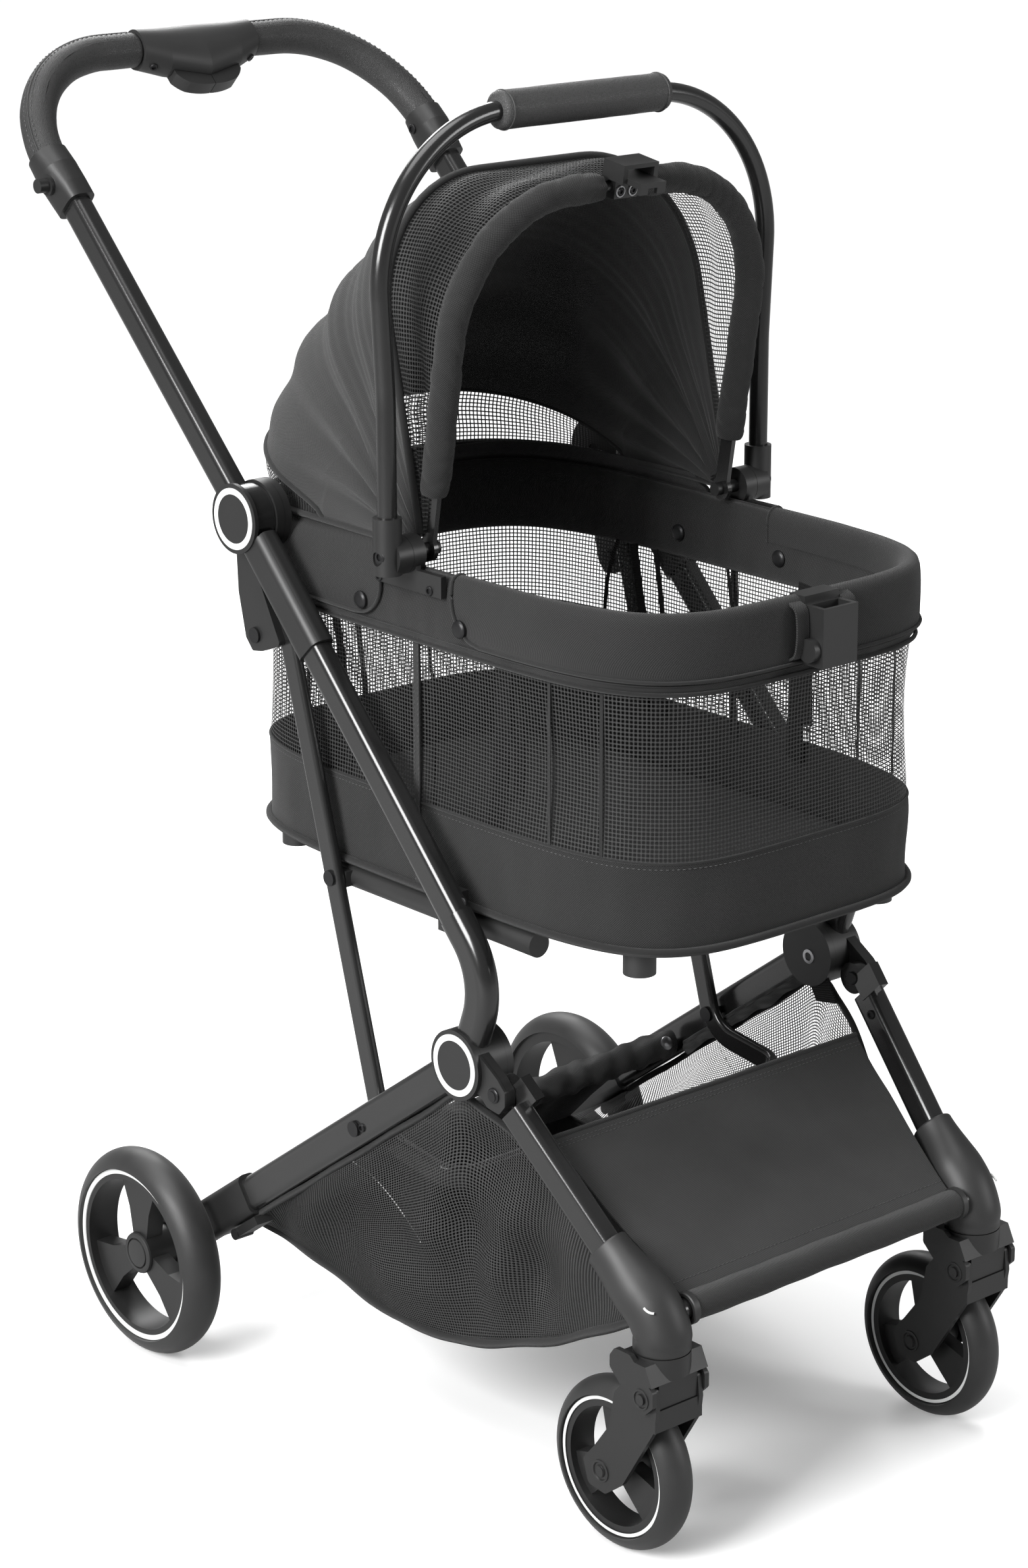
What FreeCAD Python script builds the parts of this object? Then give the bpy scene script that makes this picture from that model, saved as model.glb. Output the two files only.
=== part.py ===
import FreeCAD, Part
import math
import os
import re

import Sketcher
from FreeCAD import Placement, Rotation, Vector

# Pet stroller with a lift-off carrier, in millimetres.
# Frame: origin on the floor under the middle, +Z up, the stroller faces -Y,
# +X is the left side for the person who pushes it. Left pieces are modelled
# and the right ones are their mirror images.

SIZES = {
    # Rear wheels
    "rear_wheel_radius": 85, "rear_tyre_half": 18, "rear_wheel_x": 228,
    "rear_axle_y": 163, "rear_hub_radius": 17, "rear_flange_half": 13.9, "rear_hub_face": 9,
    # Front wheels and casters
    "front_wheel_radius": 65.5, "front_tyre_half": 15.5, "front_wheel_x": 161,
    "front_axle_y": -329, "front_hub_radius": 13, "front_flange_half": 11.6,
    "swivel_y": -368, "seam_height": 169.6, "knee_y": -376, "knee_height": 141,
    "collar_radius": 21, "fork_outer": 22.8, "fork_plate": 4, "ear_plate": 4.2,
    "shaft_radius": 5, "pin_radius": 4, "running_gap": 0.05, "side_gap": 0.3,
    # Side frames
    "hub_inner_x": 162.5, "hub_outer_x": 196.5, "hub_radius": 26.5,
    "tube_x": 184.5, "tube_depth": 24, "tube_thick": 17, "tube_corner": 6, "tube_wall": 1.6,
    "upper_hub_y": 67, "upper_hub_height": 698,
    "lower_hub_y": -184, "lower_hub_height": 338,
    "knuckle_y": -223, "knuckle_height": 325,
    "sleeve_reach": 119, "arm_joint_y": -173, "arm_joint_height": 446,
    "arm_bend_radius": 56, "arm_depth": 27, "arm_thick": 19,
    "lug_y": 63, "lug_height": 607, "rivet_radius": 3, "head_radius": 6, "head_thick": 2,
    "rear_leg_depth": 27, "rear_leg_thick": 15, "rear_leg_end_y": 78, "rear_leg_end_x": 199,
    "strut_x": 171.6, "strut_depth": 18, "strut_thick": 8,
    "strut_top_y": 40, "strut_top_height": 628, "strut_pin_y": -67, "strut_pin_height": 252.5,
    "strut_rivet_y": -15, "strut_rivet_height": 433,
    "hoop_y": -152, "hoop_height": 229, "hoop_bend": 34,
    "rail_x": 153.5, "rail_radius": 9.5, "rail_height": 432, "rail_back_y": 0,
    "rail_front_y": -228, "rail_bracket_y": -152,
    # Front legs
    "front_leg_depth": 24, "front_leg_thick": 17, "elbow_top_x": 168, "elbow_top_y": -317,
    "elbow_top_height": 232, "cross_bar_y": -370, "cross_bar_height": 194,
    "cross_bar_radius": 8, "panel_half_width": 138.5, "panel_top_y": -243, "panel_top_height": 288,
    # Push bar
    "push_angle": 45, "collar_reach": 293, "handle_rise": 141, "handle_x": 187,
    "handle_bend": 100, "core_radius": 8, "grip_radius": 14, "panel_half": 56,
    "trigger_travel": 6, "stud_radius": 5.5, "stud_length": 8.5, "stud_boss_proud": 17,
    # Carrier
    "carrier_y": -100.5, "carrier_half_length": 243.5, "carrier_half_width": 158,
    "carrier_floor": 442, "tray_thick": 4, "wall_thick": 3,
    "band_bottom": 632, "band_top": 687, "band_outset": 5, "band_thick": 13,
    "rim_tube_radius": 5, "foot_radius": 12, "foot_drop": 20, "foot_x": 120, "foot_reach": 197,
    "pad_thick": 22,
    # Bail handle and canopy share one pivot line
    "pivot_y": -99, "pivot_height": 698, "bail_x": 184, "bail_shoulder_x": 194, "bail_knee": 812,
    "bail_tube_radius": 7.2, "bail_bend": 116, "bail_grip_radius": 14.2,
    "bail_grip_half": 80, "socket_radius": 10.5, "socket_top": 727, "socket_bottom": 685.5,
    "boss_radius": 14, "bow_x": 146, "bow_over_front": 12.5,
    "bow_reach": "=carrier_half_length + bow_over_front", "bow_bend": 100, "bow_tilt": 9.5,
    "bow_tube_radius": 4.5, "bow_sleeve_radius": 11, "bow_bar_reach": 62,
    "clip_bridge_rise": 14, "clip_bridge_thick": 3.2, "clip_bridge_leg": 4,
    "clip_half_width": 16.7, "clip_length": 36, "clip_plate": 4, "tongue_half": 12.4,
    "tongue_length": 14,
    "hood_under_bow": 6, "hood_reach": "=bow_reach - hood_under_bow",
    "bail_over_bow": 52, "bail_top": "=pivot_height + bow_reach + bail_over_bow",
    "hood_half_width": 152, "hood_thick": 2.5,
    # Front lock
    "lock_half_width": 17, "lock_depth": 22, "lock_top": 684, "lock_bottom": 641,
    "button_radius": 8.5, "button_height": 653.5, "button_travel": 3,
    # Storage basket
    "basket_half_width": 154, "basket_wall": 2,
}

doc = FreeCAD.newDocument("pet_stroller")
sheet = doc.addObject("Spreadsheet::Sheet", "Sizes")
for row, (alias, value) in enumerate(SIZES.items(), start=1):
    sheet.set(f"A{row}", alias)
    sheet.set(f"B{row}", str(value))
    sheet.setAlias(f"B{row}", alias)
doc.recompute()

NODES = []
FUNCTIONS = {"sqrt", "cos", "sin", "tan"}


def cell(text):
    """Turn an expression on plain size names into one on the sheet's cells."""
    return re.sub(
        r"[a-z][a-z_]+",
        lambda m: m.group(0) if m.group(0) in FUNCTIONS else f"Sizes.{m.group(0)}",
        str(text),
    )


def size(text):
    """Value in the sheet of a size, or of an expression on sizes."""
    return float(sheet.evalExpression(cell(text)))


def bind(item, **expressions):
    """Bind properties of an object to expressions on the sheet's cells."""
    for name, text in expressions.items():
        item.setExpression(name, cell(text))
    return item


def keep(item, label):
    """Register an object as the sub-part that goes into its own file."""
    item.Label = label
    NODES.append(item)
    return item


def mirrored(item, label):
    """The right-hand twin of a left-hand sub-part."""
    twin = doc.addObject("Part::Mirroring", label)
    twin.Source = item
    twin.Normal = Vector(1, 0, 0)
    twin.Base = Vector(0, 0, 0)
    return keep(twin, label)


def cylinder(name, radius, length, base, axis=Vector(1, 0, 0)):
    """Part cylinder with its size and place bound to the sheet."""
    item = doc.addObject("Part::Cylinder", name)
    bind(item, Radius=radius, Height=length)
    item.Placement = Placement(Vector(), Rotation(Vector(0, 0, 1), axis))
    for letter, text in zip("xyz", base):
        item.setExpression(f"Placement.Base.{letter}", cell(text))
    return item


def block(name, low, high):
    """Part box between two corners given as expressions."""
    item = doc.addObject("Part::Box", name)
    for side, letter, a, b in zip(("Length", "Width", "Height"), "xyz", low, high):
        item.setExpression(side, cell(f"({b}) - ({a})"))
        item.setExpression(f"Placement.Base.{letter}", cell(a))
    return item


def fused(name, items):
    """Part fuse of several objects."""
    item = doc.addObject("Part::MultiFuse", name)
    item.Shapes = items
    item.Refine = True
    return item


def cut(name, base, tool):
    """Part cut of one object from another."""
    item = doc.addObject("Part::Cut", name)
    item.Base = base
    item.Tool = tool
    return item


def group(name, items):
    """Several separate solids that make one node."""
    item = doc.addObject("Part::Compound", name)
    item.Links = items
    return item


def shaped(name, shape):
    """A feature for a shape that the primitives and sketches don't reach."""
    item = doc.addObject("Part::Feature", name)
    item.Shape = shape
    return item


def outline_sketch(body, plane, name, points, offset="0"):
    """Closed straight-sided sketch on an origin plane, each corner bound to the sheet."""
    sketch = body.newObject("Sketcher::SketchObject", name)
    feature = [f for f in body.Origin.OriginFeatures if f.Role == plane][0]
    sketch.AttachmentSupport = [(feature, "")]
    sketch.MapMode = "FlatFace"
    sketch.setExpression("AttachmentOffset.Base.z", cell(offset))
    spots = [Vector(size(x), size(y), 0) for x, y in points]
    count = len(points)
    for i in range(count):
        sketch.addGeometry(Part.LineSegment(spots[i], spots[(i + 1) % count]), False)
    for i in range(count):
        sketch.addConstraint(Sketcher.Constraint("Coincident", i, 2, (i + 1) % count, 1))
    for i, (x, y) in enumerate(points):
        for kind, text, value in (("DistanceX", x, spots[i].x), ("DistanceY", y, spots[i].y)):
            at = sketch.addConstraint(Sketcher.Constraint(kind, -1, 1, i, 1, value))
            sketch.setExpression(f"Constraints[{at}]", cell(text))
    return sketch


def turned(name, points):
    """Body turned about the X axis from a profile of (x, radius) corners."""
    body = doc.addObject("PartDesign::Body", name)
    sketch = outline_sketch(body, "XY_Plane", f"{name}_profile", points)
    spin = body.newObject("PartDesign::Revolution", f"{name}_turn")
    spin.Profile = sketch
    spin.ReferenceAxis = (sketch, ["H_Axis"])
    spin.Angle = 360
    body.Tip = spin
    return body


def plate(name, points, low_x, high_x, round_by=None):
    """Body padded along X from a side outline of (y, z) corners, with rounded corners."""
    body = doc.addObject("PartDesign::Body", name)
    sketch = outline_sketch(body, "YZ_Plane", f"{name}_outline", points, low_x)
    pad = body.newObject("PartDesign::Pad", f"{name}_pad")
    pad.Profile = sketch
    pad.setExpression("Length", cell(f"({high_x}) - ({low_x})"))
    body.Tip = pad
    if round_by:
        doc.recompute()
        edges = [
            f"Edge{i}"
            for i, edge in enumerate(pad.Shape.Edges, start=1)
            if abs(edge.tangentAt(edge.FirstParameter).x) > 0.99
        ]
        soft = body.newObject("PartDesign::Fillet", f"{name}_corners")
        soft.Base = (pad, edges)
        soft.setExpression("Radius", cell(round_by))
        body.Tip = soft
    return body


def along(start, end):
    """Placement at start with its Z axis towards end and its X axis near the row's X."""
    z = (end - start).normalize()
    x = (Vector(1, 0, 0) - z * z.x).normalize()
    return Placement(start, Rotation(x, z.cross(x), z, "ZXY"))


def tube(name, start, end, thick, depth, corner, wall=None):
    """Body of a rounded rectangular tube from start to end, hollow when it has a wall."""
    body = doc.addObject("PartDesign::Body", name)
    corners = [(f"{a} * ({thick}) / 2", f"{b} * ({depth}) / 2")
               for a, b in ((-1, -1), (1, -1), (1, 1), (-1, 1))]
    sketch = outline_sketch(body, "XY_Plane", f"{name}_section", corners)
    pad = body.newObject("PartDesign::Pad", f"{name}_pad")
    pad.Profile = sketch
    pad.Length = (end - start).Length
    doc.recompute()
    edges = [
        f"Edge{i}"
        for i, edge in enumerate(pad.Shape.Edges, start=1)
        if abs(edge.tangentAt(edge.FirstParameter).z) > 0.99
    ]
    soft = body.newObject("PartDesign::Fillet", f"{name}_corners")
    soft.Base = (pad, edges)
    soft.setExpression("Radius", cell(corner))
    body.Tip = soft
    if wall:
        doc.recompute()
        ends = [
            f"Face{i}"
            for i, face in enumerate(soft.Shape.Faces, start=1)
            if abs(face.normalAt(0, 0).z) > 0.99
        ]
        hollow = body.newObject("PartDesign::Thickness", f"{name}_wall")
        hollow.Base = (soft, ends)
        hollow.setExpression("Value", cell(wall))
        hollow.Reversed = True
        body.Tip = hollow
    body.Placement = along(start, end)
    return body


def oval(centre, across, up, half_across, half_up, power=2.0, count=32):
    """Closed smooth wire: a superellipse of the given power in the plane of two directions."""
    spots = []
    for i in range(count):
        turn = 2 * math.pi * i / count
        c, s = math.cos(turn), math.sin(turn)
        a = math.copysign(abs(c) ** (2 / power), c) * half_across
        b = math.copysign(abs(s) ** (2 / power), s) * half_up
        spots.append(centre + across * a + up * b)
    curve = Part.BSplineCurve()
    curve.interpolate(Points=spots, PeriodicFlag=True)
    return Part.Wire([curve.toShape()])


def lofted(sections):
    """Solid ruled through closed sections, turned the right way out."""
    solid = Part.makeLoft(sections, True, True)
    return solid.reversed() if solid.Volume < 0 else solid


def bent_path(points, radii):
    """Wire of straight runs joined by tangent arcs, one radius for each inner point."""
    edges = []
    here = points[0]
    for before, corner, after, radius in zip(points, points[1:], points[2:], radii):
        into, away = (corner - before).normalize(), (after - corner).normalize()
        turn = into.getAngle(away)
        reach = radius * math.tan(turn / 2)
        start, end = corner - into * reach, corner + away * reach
        middle = (away - into).normalize()
        bulge = corner + middle * (radius / math.cos(turn / 2) - radius)
        if (start - here).Length > 1e-6:
            edges.append(Part.makeLine(here, start))
        edges.append(Part.Arc(start, bulge, end).toShape())
        here = end
    if (points[-1] - here).Length > 1e-6:
        edges.append(Part.makeLine(here, points[-1]))
    return Part.Wire(edges)


def swept(path, section):
    """Solid of a section wire carried along a path."""
    return path.makePipeShell([section], True, False)


def round_rod(path, radius):
    """Round rod along a path, square to it at its start."""
    start = path.Edges[0].valueAt(path.Edges[0].FirstParameter)
    heading = path.Edges[0].tangentAt(path.Edges[0].FirstParameter)
    ring = Part.Wire([Part.makeCircle(radius, start, heading)])
    return swept(path, ring)


def rounded_section(centre, across, up, width, depth, corner):
    """Rounded rectangle wire in the plane of two directions."""
    a, b = width / 2 - corner, depth / 2 - corner
    edges = []
    spots = [(a, b, 0), (-a, b, 90), (-a, -b, 180), (a, -b, 270)]
    for i, (x, y, turn) in enumerate(spots):
        middle = centre + across * x + up * y
        ring = [
            middle
            + across * (corner * math.cos(math.radians(turn + step)))
            + up * (corner * math.sin(math.radians(turn + step)))
            for step in (0, 45, 90)
        ]
        edges.append(Part.Arc(*ring).toShape())
        nx, ny, _ = spots[(i + 1) % 4]
        ahead = math.radians(turn + 90)
        after = (
            centre + across * nx + up * ny
            + across * (corner * math.cos(ahead)) + up * (corner * math.sin(ahead))
        )
        edges.append(Part.makeLine(ring[2], after))
    return Part.Wire(edges)


def side_point(x, y, z):
    """Point from three sizes or expressions."""
    return Vector(size(x), size(y), size(z))


X, Y, Z = Vector(1, 0, 0), Vector(0, 1, 0), Vector(0, 0, 1)


def heading(angle):
    """Unit direction in the side plane, counted from +Y towards +Z, in degrees."""
    return Vector(0, math.cos(math.radians(angle)), math.sin(math.radians(angle)))


# ---------------------------------------------------------------- wheels

def wheel(prefix, radius, tyre_half, hub_radius, flange_half, shaft, place, closed):
    """Tyre and three-spoked rim with its trim ring, for the left side."""
    seat = f"({radius} - {tyre_half} + 4)"
    torus = doc.addObject("Part::Torus", f"{prefix}_tyre_round")
    bind(torus, Radius1=f"{radius} - {tyre_half}", Radius2=tyre_half)
    torus.Placement = Placement(Vector(), Rotation(Z, X))
    seat_bore = cylinder(f"{prefix}_seat", seat, f"2 * {tyre_half} + 2", (f"-{tyre_half} - 1", "0", "0"))
    tyre = cut(f"{prefix}_tyre_cut", torus, seat_bore)
    flange = [
        (f"-{flange_half}", f"{seat} - 9"), (f"-{flange_half}", f"{seat} - running_gap"),
        (flange_half, f"{seat} - running_gap"), (flange_half, f"{seat} - 9"),
    ]
    barrel = turned(f"{prefix}_barrel", flange)
    bore = f"({shaft} + running_gap)"
    if closed:
        hub_profile = [
            (f"-{tyre_half}", bore), (f"-{tyre_half}", hub_radius), ("rear_hub_face", hub_radius),
            ("rear_hub_face", "0"), ("rear_hub_face - 2", "0"), ("rear_hub_face - 2", bore),
        ]
    else:
        hub_profile = [
            (f"-{tyre_half} - 2", bore), (f"-{tyre_half} - 2", hub_radius),
            (f"{tyre_half} + 2", hub_radius), (f"{tyre_half} + 2", bore),
        ]
    hub = turned(f"{prefix}_hub", hub_profile)
    spokes = doc.addObject("PartDesign::Body", f"{prefix}_spokes")
    root, tip = f"({hub_radius} - 3)", f"({seat} - 8)"
    waist = f"(0.55 * {root} + 0.45 * {tip})"
    spoke_corners = [
        ("-9", root), ("9", root), ("13", waist), (f"0.38 * {tip}", tip), (f"-0.38 * {tip}", tip),
        ("-13", waist),
    ]
    sketch = outline_sketch(spokes, "YZ_Plane", f"{prefix}_spoke_outline", spoke_corners)
    pad = spokes.newObject("PartDesign::Pad", f"{prefix}_spoke_pad")
    pad.Profile = sketch
    pad.setExpression("Length", cell(f"{flange_half} * 1.1"))
    pad.Midplane = True
    spokes.Tip = pad
    doc.recompute()
    ring = spokes.newObject("PartDesign::PolarPattern", f"{prefix}_spoke_ring")
    ring.Originals = [pad]
    ring.Axis = ([f for f in spokes.Origin.OriginFeatures if f.Role == "X_Axis"][0], [""])
    ring.Angle = 360
    ring.Occurrences = 3
    spokes.Tip = ring
    trim_profile = [
        (flange_half, f"{seat} - 4.4"), (flange_half, f"{seat} - 0.6"),
        (f"{flange_half} + 0.6", f"{seat} - 0.6"), (f"{flange_half} + 0.6", f"{seat} - 4.4"),
    ]
    trim = turned(f"{prefix}_trim", trim_profile)
    centre = fused(f"{prefix}_centre", [barrel, hub, spokes])
    rim = group(f"{prefix}_rim_set", [centre, trim])
    for item, label in ((rim, f"{prefix}_rim"), (tyre, f"{prefix}_tyre")):
        for letter, text in zip("xyz", place):
            item.setExpression(f"Placement.Base.{letter}", cell(text))
        keep(item, f"{label}_left")
        mirrored(item, f"{label}_right")


wheel("rear", "rear_wheel_radius", "rear_tyre_half", "rear_hub_radius", "rear_flange_half",
      "shaft_radius", ("rear_wheel_x", "rear_axle_y", "rear_wheel_radius"), True)
wheel("front", "front_wheel_radius", "front_tyre_half", "front_hub_radius", "front_flange_half",
      "pin_radius", ("front_wheel_x", "front_axle_y", "front_wheel_radius"), False)

# ---------------------------------------------------------------- casters

def at_knee(y, z):
    """Side place counted from the fork's knee pin."""
    return (f"knee_y + ({y})", f"knee_height + ({z})")


def fork_left():
    """Two trailing plates, a web over the wheel, the knee pin and the wheel's axle."""
    blade = [
        at_knee(-11, -9), at_knee(-9, 9), at_knee(6, 10), at_knee(22, 6), at_knee(33, -8),
        at_knee(38, -36), at_knee(54, -58), at_knee(66, -72), at_knee(60, -90), at_knee(42, -92),
        at_knee(24, -78), at_knee(2, -42), at_knee(-9, -24),
    ]
    parts = []
    for label, low, high in (("outer", "fork_outer - fork_plate", "fork_outer"),
                             ("inner", "-fork_outer", "fork_plate - fork_outer")):
        parts.append(plate(f"fork_{label}", blade, f"front_wheel_x + ({low})",
                           f"front_wheel_x + ({high})", "4"))
    parts.append(block("fork_web",
                       ("front_wheel_x - fork_outer", "knee_y - 10", "knee_height - 25"),
                       ("front_wheel_x + fork_outer", "knee_y - 5.5", "knee_height - 8.6")))
    whole = fused("fork_body", parts)
    holes = fused("fork_holes", [
        cylinder("fork_knee_hole", "pin_radius + 0.01", "60",
                 ("front_wheel_x - 30", "knee_y", "knee_height")),
        cylinder("fork_axle_hole", "pin_radius + 0.01", "60",
                 ("front_wheel_x - 30", "front_axle_y", "front_wheel_radius")),
    ])
    pins = [
        cylinder("fork_knee_pin", "pin_radius", "2 * (fork_outer + ear_plate + 2)",
                 ("front_wheel_x - fork_outer - ear_plate - 2", "knee_y", "knee_height")),
        cylinder("fork_axle_pin", "pin_radius", "2 * (fork_outer + 1.5)",
                 ("front_wheel_x - fork_outer - 1.5", "front_axle_y", "front_wheel_radius")),
    ]
    return group("fork_set", [cut("fork_drilled", whole, holes), *pins])


def caster_block_left():
    """Swivel collar with a slanted ear on each side and the stem that turns in the elbow."""
    ear = [
        at_knee(-12, -3), at_knee(-3, -12), at_knee(9, -8), at_knee(33, 14), at_knee(33, 23),
        at_knee(28, 30), at_knee(12, 30), at_knee(-6, 14), at_knee(-12, 8),
    ]
    parts = []
    outer = "(fork_outer + side_gap + ear_plate)"
    for label, low, high in (("outer", "fork_outer + side_gap", outer),
                             ("inner", f"-{outer}", "-fork_outer - side_gap")):
        parts.append(plate(f"ear_{label}", ear, f"front_wheel_x + ({low})",
                           f"front_wheel_x + ({high})", "3.5"))
    parts.append(plate("caster_web",
                       [at_knee(-11, 12), at_knee(-4, 26), at_knee(28, 26), at_knee(31, 18),
                        at_knee(24, 12.5)],
                       f"front_wheel_x - {outer}", f"front_wheel_x + {outer}"))
    parts.append(cylinder("caster_collar", "collar_radius", "seam_height - side_gap - knee_height - 12.5",
                          ("front_wheel_x", "swivel_y", "knee_height + 12.5"), Z))
    parts.append(cylinder("caster_stem", "shaft_radius", "seam_height + 18 - knee_height - 20",
                          ("front_wheel_x", "swivel_y", "knee_height + 20"), Z))
    knuckle = block("caster_knuckle",
                    ("front_wheel_x - fork_outer + fork_plate + side_gap", "knee_y - 9", "knee_height - 8"),
                    ("front_wheel_x + fork_outer - fork_plate - side_gap", "knee_y + 9", "knee_height + 14"))
    whole = fused("caster_body", [*parts, knuckle])
    hole = cylinder("caster_knee_hole", "pin_radius + running_gap", "70",
                    ("front_wheel_x - 35", "knee_y", "knee_height"))
    return cut("caster_drilled", whole, hole)


keep(fork_left(), "fork_left")
mirrored(NODES[-1], "fork_right")
keep(caster_block_left(), "caster_block_left")
mirrored(NODES[-1], "caster_block_right")

# ---------------------------------------------------------------- front legs

KNUCKLE = side_point("tube_x - 1.5", "knuckle_y", "knuckle_height")
ELBOW_TOP = side_point("elbow_top_x", "elbow_top_y", "elbow_top_height")
SWIVEL = side_point("front_wheel_x", "swivel_y", "seam_height")
LEG_WAY = (ELBOW_TOP - KNUCKLE).normalize()


def front_leg_left():
    """Front tube with the hinge leaf of its top cap."""
    start = KNUCKLE + LEG_WAY * 15
    leg = tube("front_leg_tube", start, ELBOW_TOP + LEG_WAY * 12, "front_leg_thick",
               "front_leg_depth", "tube_corner - 0.5")
    leaf_disc = cylinder("front_leg_leaf_disc", "12.5", "9.2", ("tube_x - 10.7", "knuckle_y", "knuckle_height"))
    leaf_arm = shaped("front_leg_leaf_arm", Part.makeBox(9.2, 25, 20))
    leaf_arm.Placement = along(KNUCKLE - X * size("9.2"), KNUCKLE + LEG_WAY * 30 - X * size("9.2"))
    leaf_arm.Placement.move(leaf_arm.Placement.Rotation.multVec(Vector(0, -12.5, 0)))
    hole = cylinder("front_leg_pin_hole", "pin_radius + running_gap", "12",
                    ("tube_x - 12", "knuckle_y", "knuckle_height"))
    hub_room = cylinder("front_leg_hub_room", "hub_radius + side_gap", "30",
                        ("tube_x - 15", "lower_hub_y", "lower_hub_height"))
    return cut("front_leg_cut", fused("front_leg_whole", [leg, leaf_disc, leaf_arm]),
               fused("front_leg_cuts", [hole, hub_room]))


def elbow_left():
    """Moulded elbow from the slanted leg to the upright swivel, with its stem socket."""
    radius = size("collar_radius")
    up = LEG_WAY.cross(X).normalize()
    across = up.cross(LEG_WAY)
    sleeve = lofted([oval(ELBOW_TOP, across, up, 12.5, 16, 3.0),
                     oval(ELBOW_TOP + LEG_WAY * 46, across, up, 18.5, 18.5)])
    crown = SWIVEL + Z * 24
    body = Part.makeCylinder(radius, 24, SWIVEL, Z).multiFuse([Part.makeSphere(radius, crown), sleeve])
    socket = Part.makeCylinder(size("shaft_radius + running_gap"), 18.6, SWIVEL - Z * 0.3, Z)
    hole = along(ELBOW_TOP - LEG_WAY, ELBOW_TOP + LEG_WAY * 30)
    leg_hole = Part.Face(rounded_section(
        ELBOW_TOP - LEG_WAY, hole.Rotation.multVec(X), hole.Rotation.multVec(Y),
        size("front_leg_thick + 0.1"), size("front_leg_depth + 0.1"), size("tube_corner - 0.5"),
    )).extrude(LEG_WAY * 13.05)
    bar_end = side_point("front_wheel_x - 12.4", "cross_bar_y", "cross_bar_height")
    bar_hole = Part.makeCylinder(size("cross_bar_radius + 0.05"), 40, bar_end, -X)
    return shaped("elbow_shape", body.cut(socket).cut(leg_hole).cut(bar_hole))


keep(front_leg_left(), "front_leg_left")
mirrored(NODES[-1], "front_leg_right")
keep(elbow_left(), "elbow_left")
mirrored(NODES[-1], "elbow_right")

keep(cylinder("cross_bar", "cross_bar_radius", "2 * (front_wheel_x - 12.7)",
              ("12.7 - front_wheel_x", "cross_bar_y", "cross_bar_height")), "front_cross_bar")


def basket_front_panel():
    """Fabric panel between the front legs: its lower hem wraps the cross bar."""
    bar = Vector(0, size("cross_bar_y"), size("cross_bar_height"))
    top = Vector(0, size("panel_top_y"), size("panel_top_height"))
    way = (top - bar).normalize()
    normal = way.cross(X)
    half = size("panel_half_width")
    hem = Part.makeCylinder(size("cross_bar_radius + 3"), 2 * half, bar - X * half, X)
    bore = Part.makeCylinder(size("cross_bar_radius + 0.1"), 2 * half + 2, bar - X * (half + 1), X)
    sheet_low = bar + way * size("cross_bar_radius + 1") - normal * 1
    corners = [sheet_low - X * half, sheet_low + X * half, top + X * (half + 6), top - X * (half + 6)]
    face = Part.Face(Part.makePolygon([*corners, corners[0]]))
    return shaped("front_panel_shape", hem.fuse(face.extrude(normal * 2)).cut(bore).removeSplitter())


keep(basket_front_panel(), "basket_front_panel")

# ---------------------------------------------------------------- side frames

UPPER_HUB = side_point("tube_x", "upper_hub_y", "upper_hub_height")
LOWER_HUB = side_point("tube_x", "lower_hub_y", "lower_hub_height")
ARM_JOINT = side_point("tube_x", "arm_joint_y", "arm_joint_height")
MAIN_WAY = (ARM_JOINT - UPPER_HUB).normalize()
REAR_AXLE = side_point("rear_leg_end_x", "rear_axle_y", "rear_wheel_radius")


def hub_trim(prefix, y, height):
    """White ring and cap on a hub's outer face."""
    ring = turned(f"{prefix}_ring", [("hub_outer_x", "18.6"), ("hub_outer_x", "23.2"),
                                     ("hub_outer_x + 0.6", "23.2"), ("hub_outer_x + 0.6", "18.6")])
    cap = cylinder(f"{prefix}_cap", "18.4", "0.5", ("hub_outer_x", y, height))
    ring.setExpression("Placement.Base.y", cell(y))
    ring.setExpression("Placement.Base.z", cell(height))
    return [ring, cap]


def upper_hub_left():
    """Fixed hub cheeks, the sleeve on the main tube and the lug behind it."""
    drum = cylinder("upper_drum", "hub_radius", "hub_outer_x - hub_inner_x",
                    ("hub_inner_x", "upper_hub_y", "upper_hub_height"))
    end = UPPER_HUB + MAIN_WAY * size("sleeve_reach")
    sleeve = tube("upper_sleeve", UPPER_HUB + MAIN_WAY * 12, end, "tube_thick + 4", "tube_depth + 6", "8")
    lug = plate("upper_lug", [
        ("lug_y + 12", "lug_height - 4"), ("lug_y + 4", "lug_height - 13"), ("lug_y - 8", "lug_height - 11"),
        ("lug_y - 30", "lug_height - 2"), ("lug_y - 5", "lug_height + 45"), ("lug_y + 22", "lug_height + 70"),
        ("lug_y + 20", "lug_height + 30"),
    ], "strut_x + strut_thick / 2 + 0.1", "strut_x + strut_thick / 2 + 6", "3")
    whole = fused("upper_hub_mass", [drum, sleeve, lug])
    slot = cylinder("upper_slot", "hub_radius + 0.5", "tube_thick + 2 * side_gap",
                    ("tube_x - tube_thick / 2 - side_gap", "upper_hub_y", "upper_hub_height"))
    bore = tube("upper_bore", UPPER_HUB + MAIN_WAY * 20, end + MAIN_WAY * 5, "tube_thick + 0.1",
                "tube_depth + 0.1", "tube_corner")
    pin_hole = cylinder("upper_pin_hole", "shaft_radius + 0.01", "40",
                        ("hub_inner_x - 1", "upper_hub_y", "upper_hub_height"))
    lug_hole = cylinder("lug_hole", "rivet_radius + 0.01", "30", ("tube_x - 20", "lug_y", "lug_height"))
    tools = fused("upper_hub_cuts", [slot, bore, pin_hole, lug_hole])
    solid = cut("upper_hub_cut", whole, tools)
    return group("upper_hub_set", [solid, *hub_trim("upper", "upper_hub_y", "upper_hub_height")])


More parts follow.
